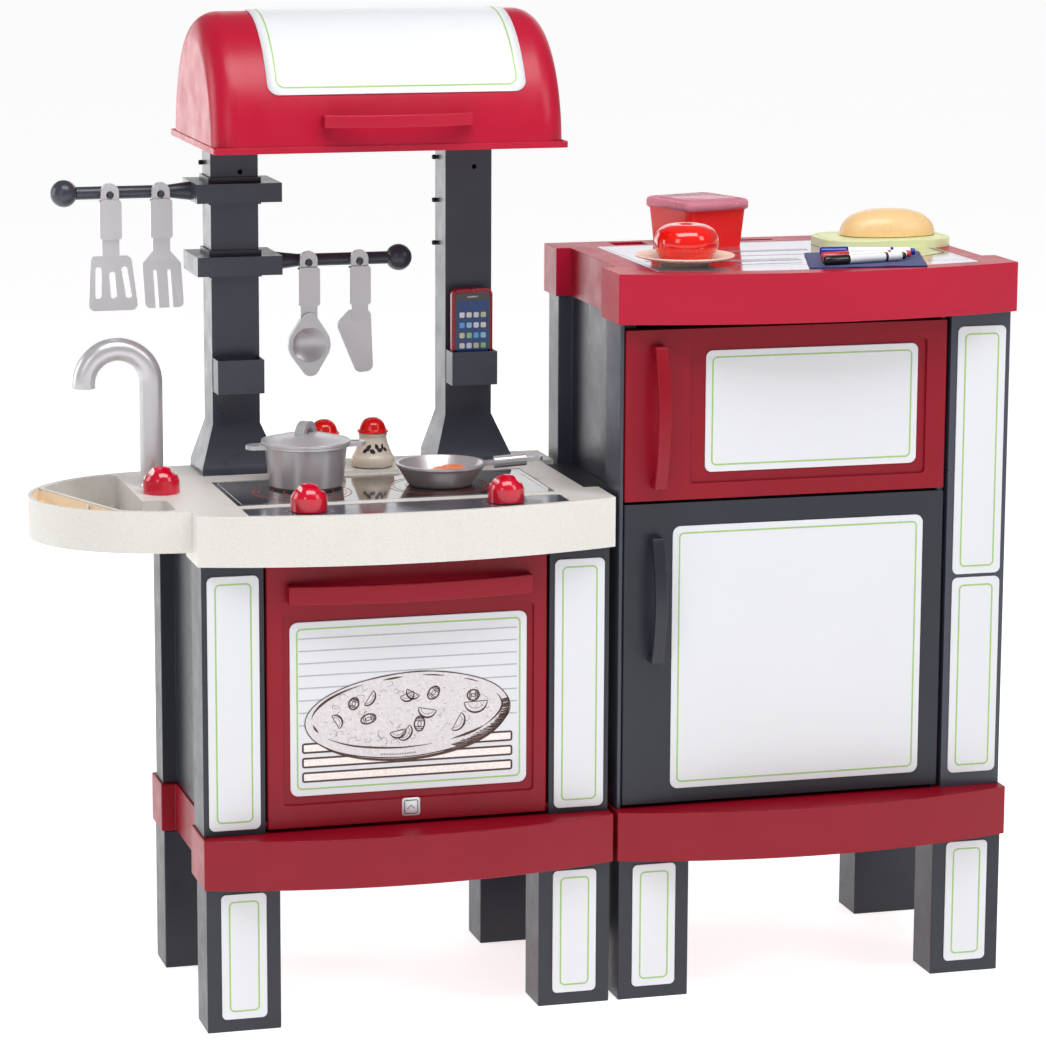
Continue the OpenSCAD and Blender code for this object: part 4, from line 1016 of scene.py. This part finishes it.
def cloth():
    """Flannel square pulled out of true, with a pinked left edge and a few low ripples."""
    points = islands("eraser_cloth")[0]
    lo = span(points)[0]
    fr = min(points, key=lambda p: p.y)
    rr = max(points, key=lambda p: p.x)
    rl = max(points, key=lambda p: p.y)
    fl = fr + (rl - rr)
    n = 97
    verts = []
    for j in range(n):
        for i in range(n):
            u, v = i / (n - 1), j / (n - 1)
            front, rear = fl.lerp(fr, u), rl.lerp(rr, u)
            p = front.lerp(rear, v)
            tooth = abs((v * 24) % 2 - 1) * 2.2 * mm * (1 - u) ** 14
            p += (fr - fl).normalized() * tooth
            edge = min(u, 1 - u, v, 1 - v)
            lift = 0.9 * mm * noise.noise((u * 5, v * 4, 2)) * max(0, 1 - edge * 7)
            verts.append((p.x, p.y, lo.z + 0.95 * mm + max(-0.2 * mm, lift)))
    o = piece("cloth_sheet", verts, grid_faces(n, n), "eraser_cloth", solid=1.4 * mm,
              replaces=("eraser_cloth",))


markers()
cloth()


# ---------- small trim ----------

def label():
    """Plain rounded label with a chevron on the oven door's foot."""
    lo, hi = BOX["oven_door"]
    board_foot = BOX["oven_door_board"][0].z
    cx = (lo.x + hi.x) / 2 + 2.5 * mm
    z0, z1 = board_foot - 26 * mm, board_foot - 8 * mm
    base = prism(round_rect(cx - 9 * mm, cx + 9 * mm, z0, z1, 2.5 * mm),
                 lambda u, v, w: (u, lo.y - 0.4 * mm + w, v), 0.6 * mm)
    piece("label_base", *base, "oven_door", MAT["board_white"], "board_white")
    face = front_plane(lo.y - 0.4 * mm)
    frame_line = round_rect(cx - 6.6 * mm, cx + 6.6 * mm, z0 + 2.4 * mm, z1 - 2.4 * mm,
                            1.6 * mm, 4)
    chevron = [(cx - 3.6 * mm, z0 + 7 * mm), (cx, z0 + 10.6 * mm), (cx + 3.6 * mm, z0 + 7 * mm)]
    lines = merge([ribbon(frame_line, 0.8 * mm, face), ribbon(chevron, 0.8 * mm, face, False)])
    piece("label_line", *lines, "oven_door", INK["brown"], smooth=False)


label()


# ---------- floor ----------

def floor():
    """Wide, faintly glowing white floor that also fills the picture's background."""
    me = bpy.data.meshes.new("floor")
    n, size, back = 24, 40, 8
    verts = [((i / n - 0.5) * size, (j / n - 0.5) * size + back, 0) for j in range(n + 1)
             for i in range(n + 1)]
    me.from_pydata(verts, [], grid_faces(n + 1, n + 1))
    o = bpy.data.objects.new("floor", me)
    bpy.context.scene.collection.objects.link(o)
    o.location.z = min(b[0].z for b in BOX.values()) - 0.0002
    node = Nodes("floor_white")
    node.join(node.mix(node.spread(node.noise(2, 3), 0, 1), (0.93, 0.93, 0.935, 1),
                       (0.95, 0.95, 0.955, 1)), node.bsdf.inputs["Base Color"])
    node.bsdf.inputs["Roughness"].default_value = 0.6
    node.bsdf.inputs["Emission Color"].default_value = (1, 1, 1, 1)
    node.bsdf.inputs["Emission Strength"].default_value = 0.77
    me.materials.append(node.mat)


floor()
make_camera()
make_lights()
bpy.context.scene.view_settings.view_transform = "Standard"

bpy.context.view_layer.update()
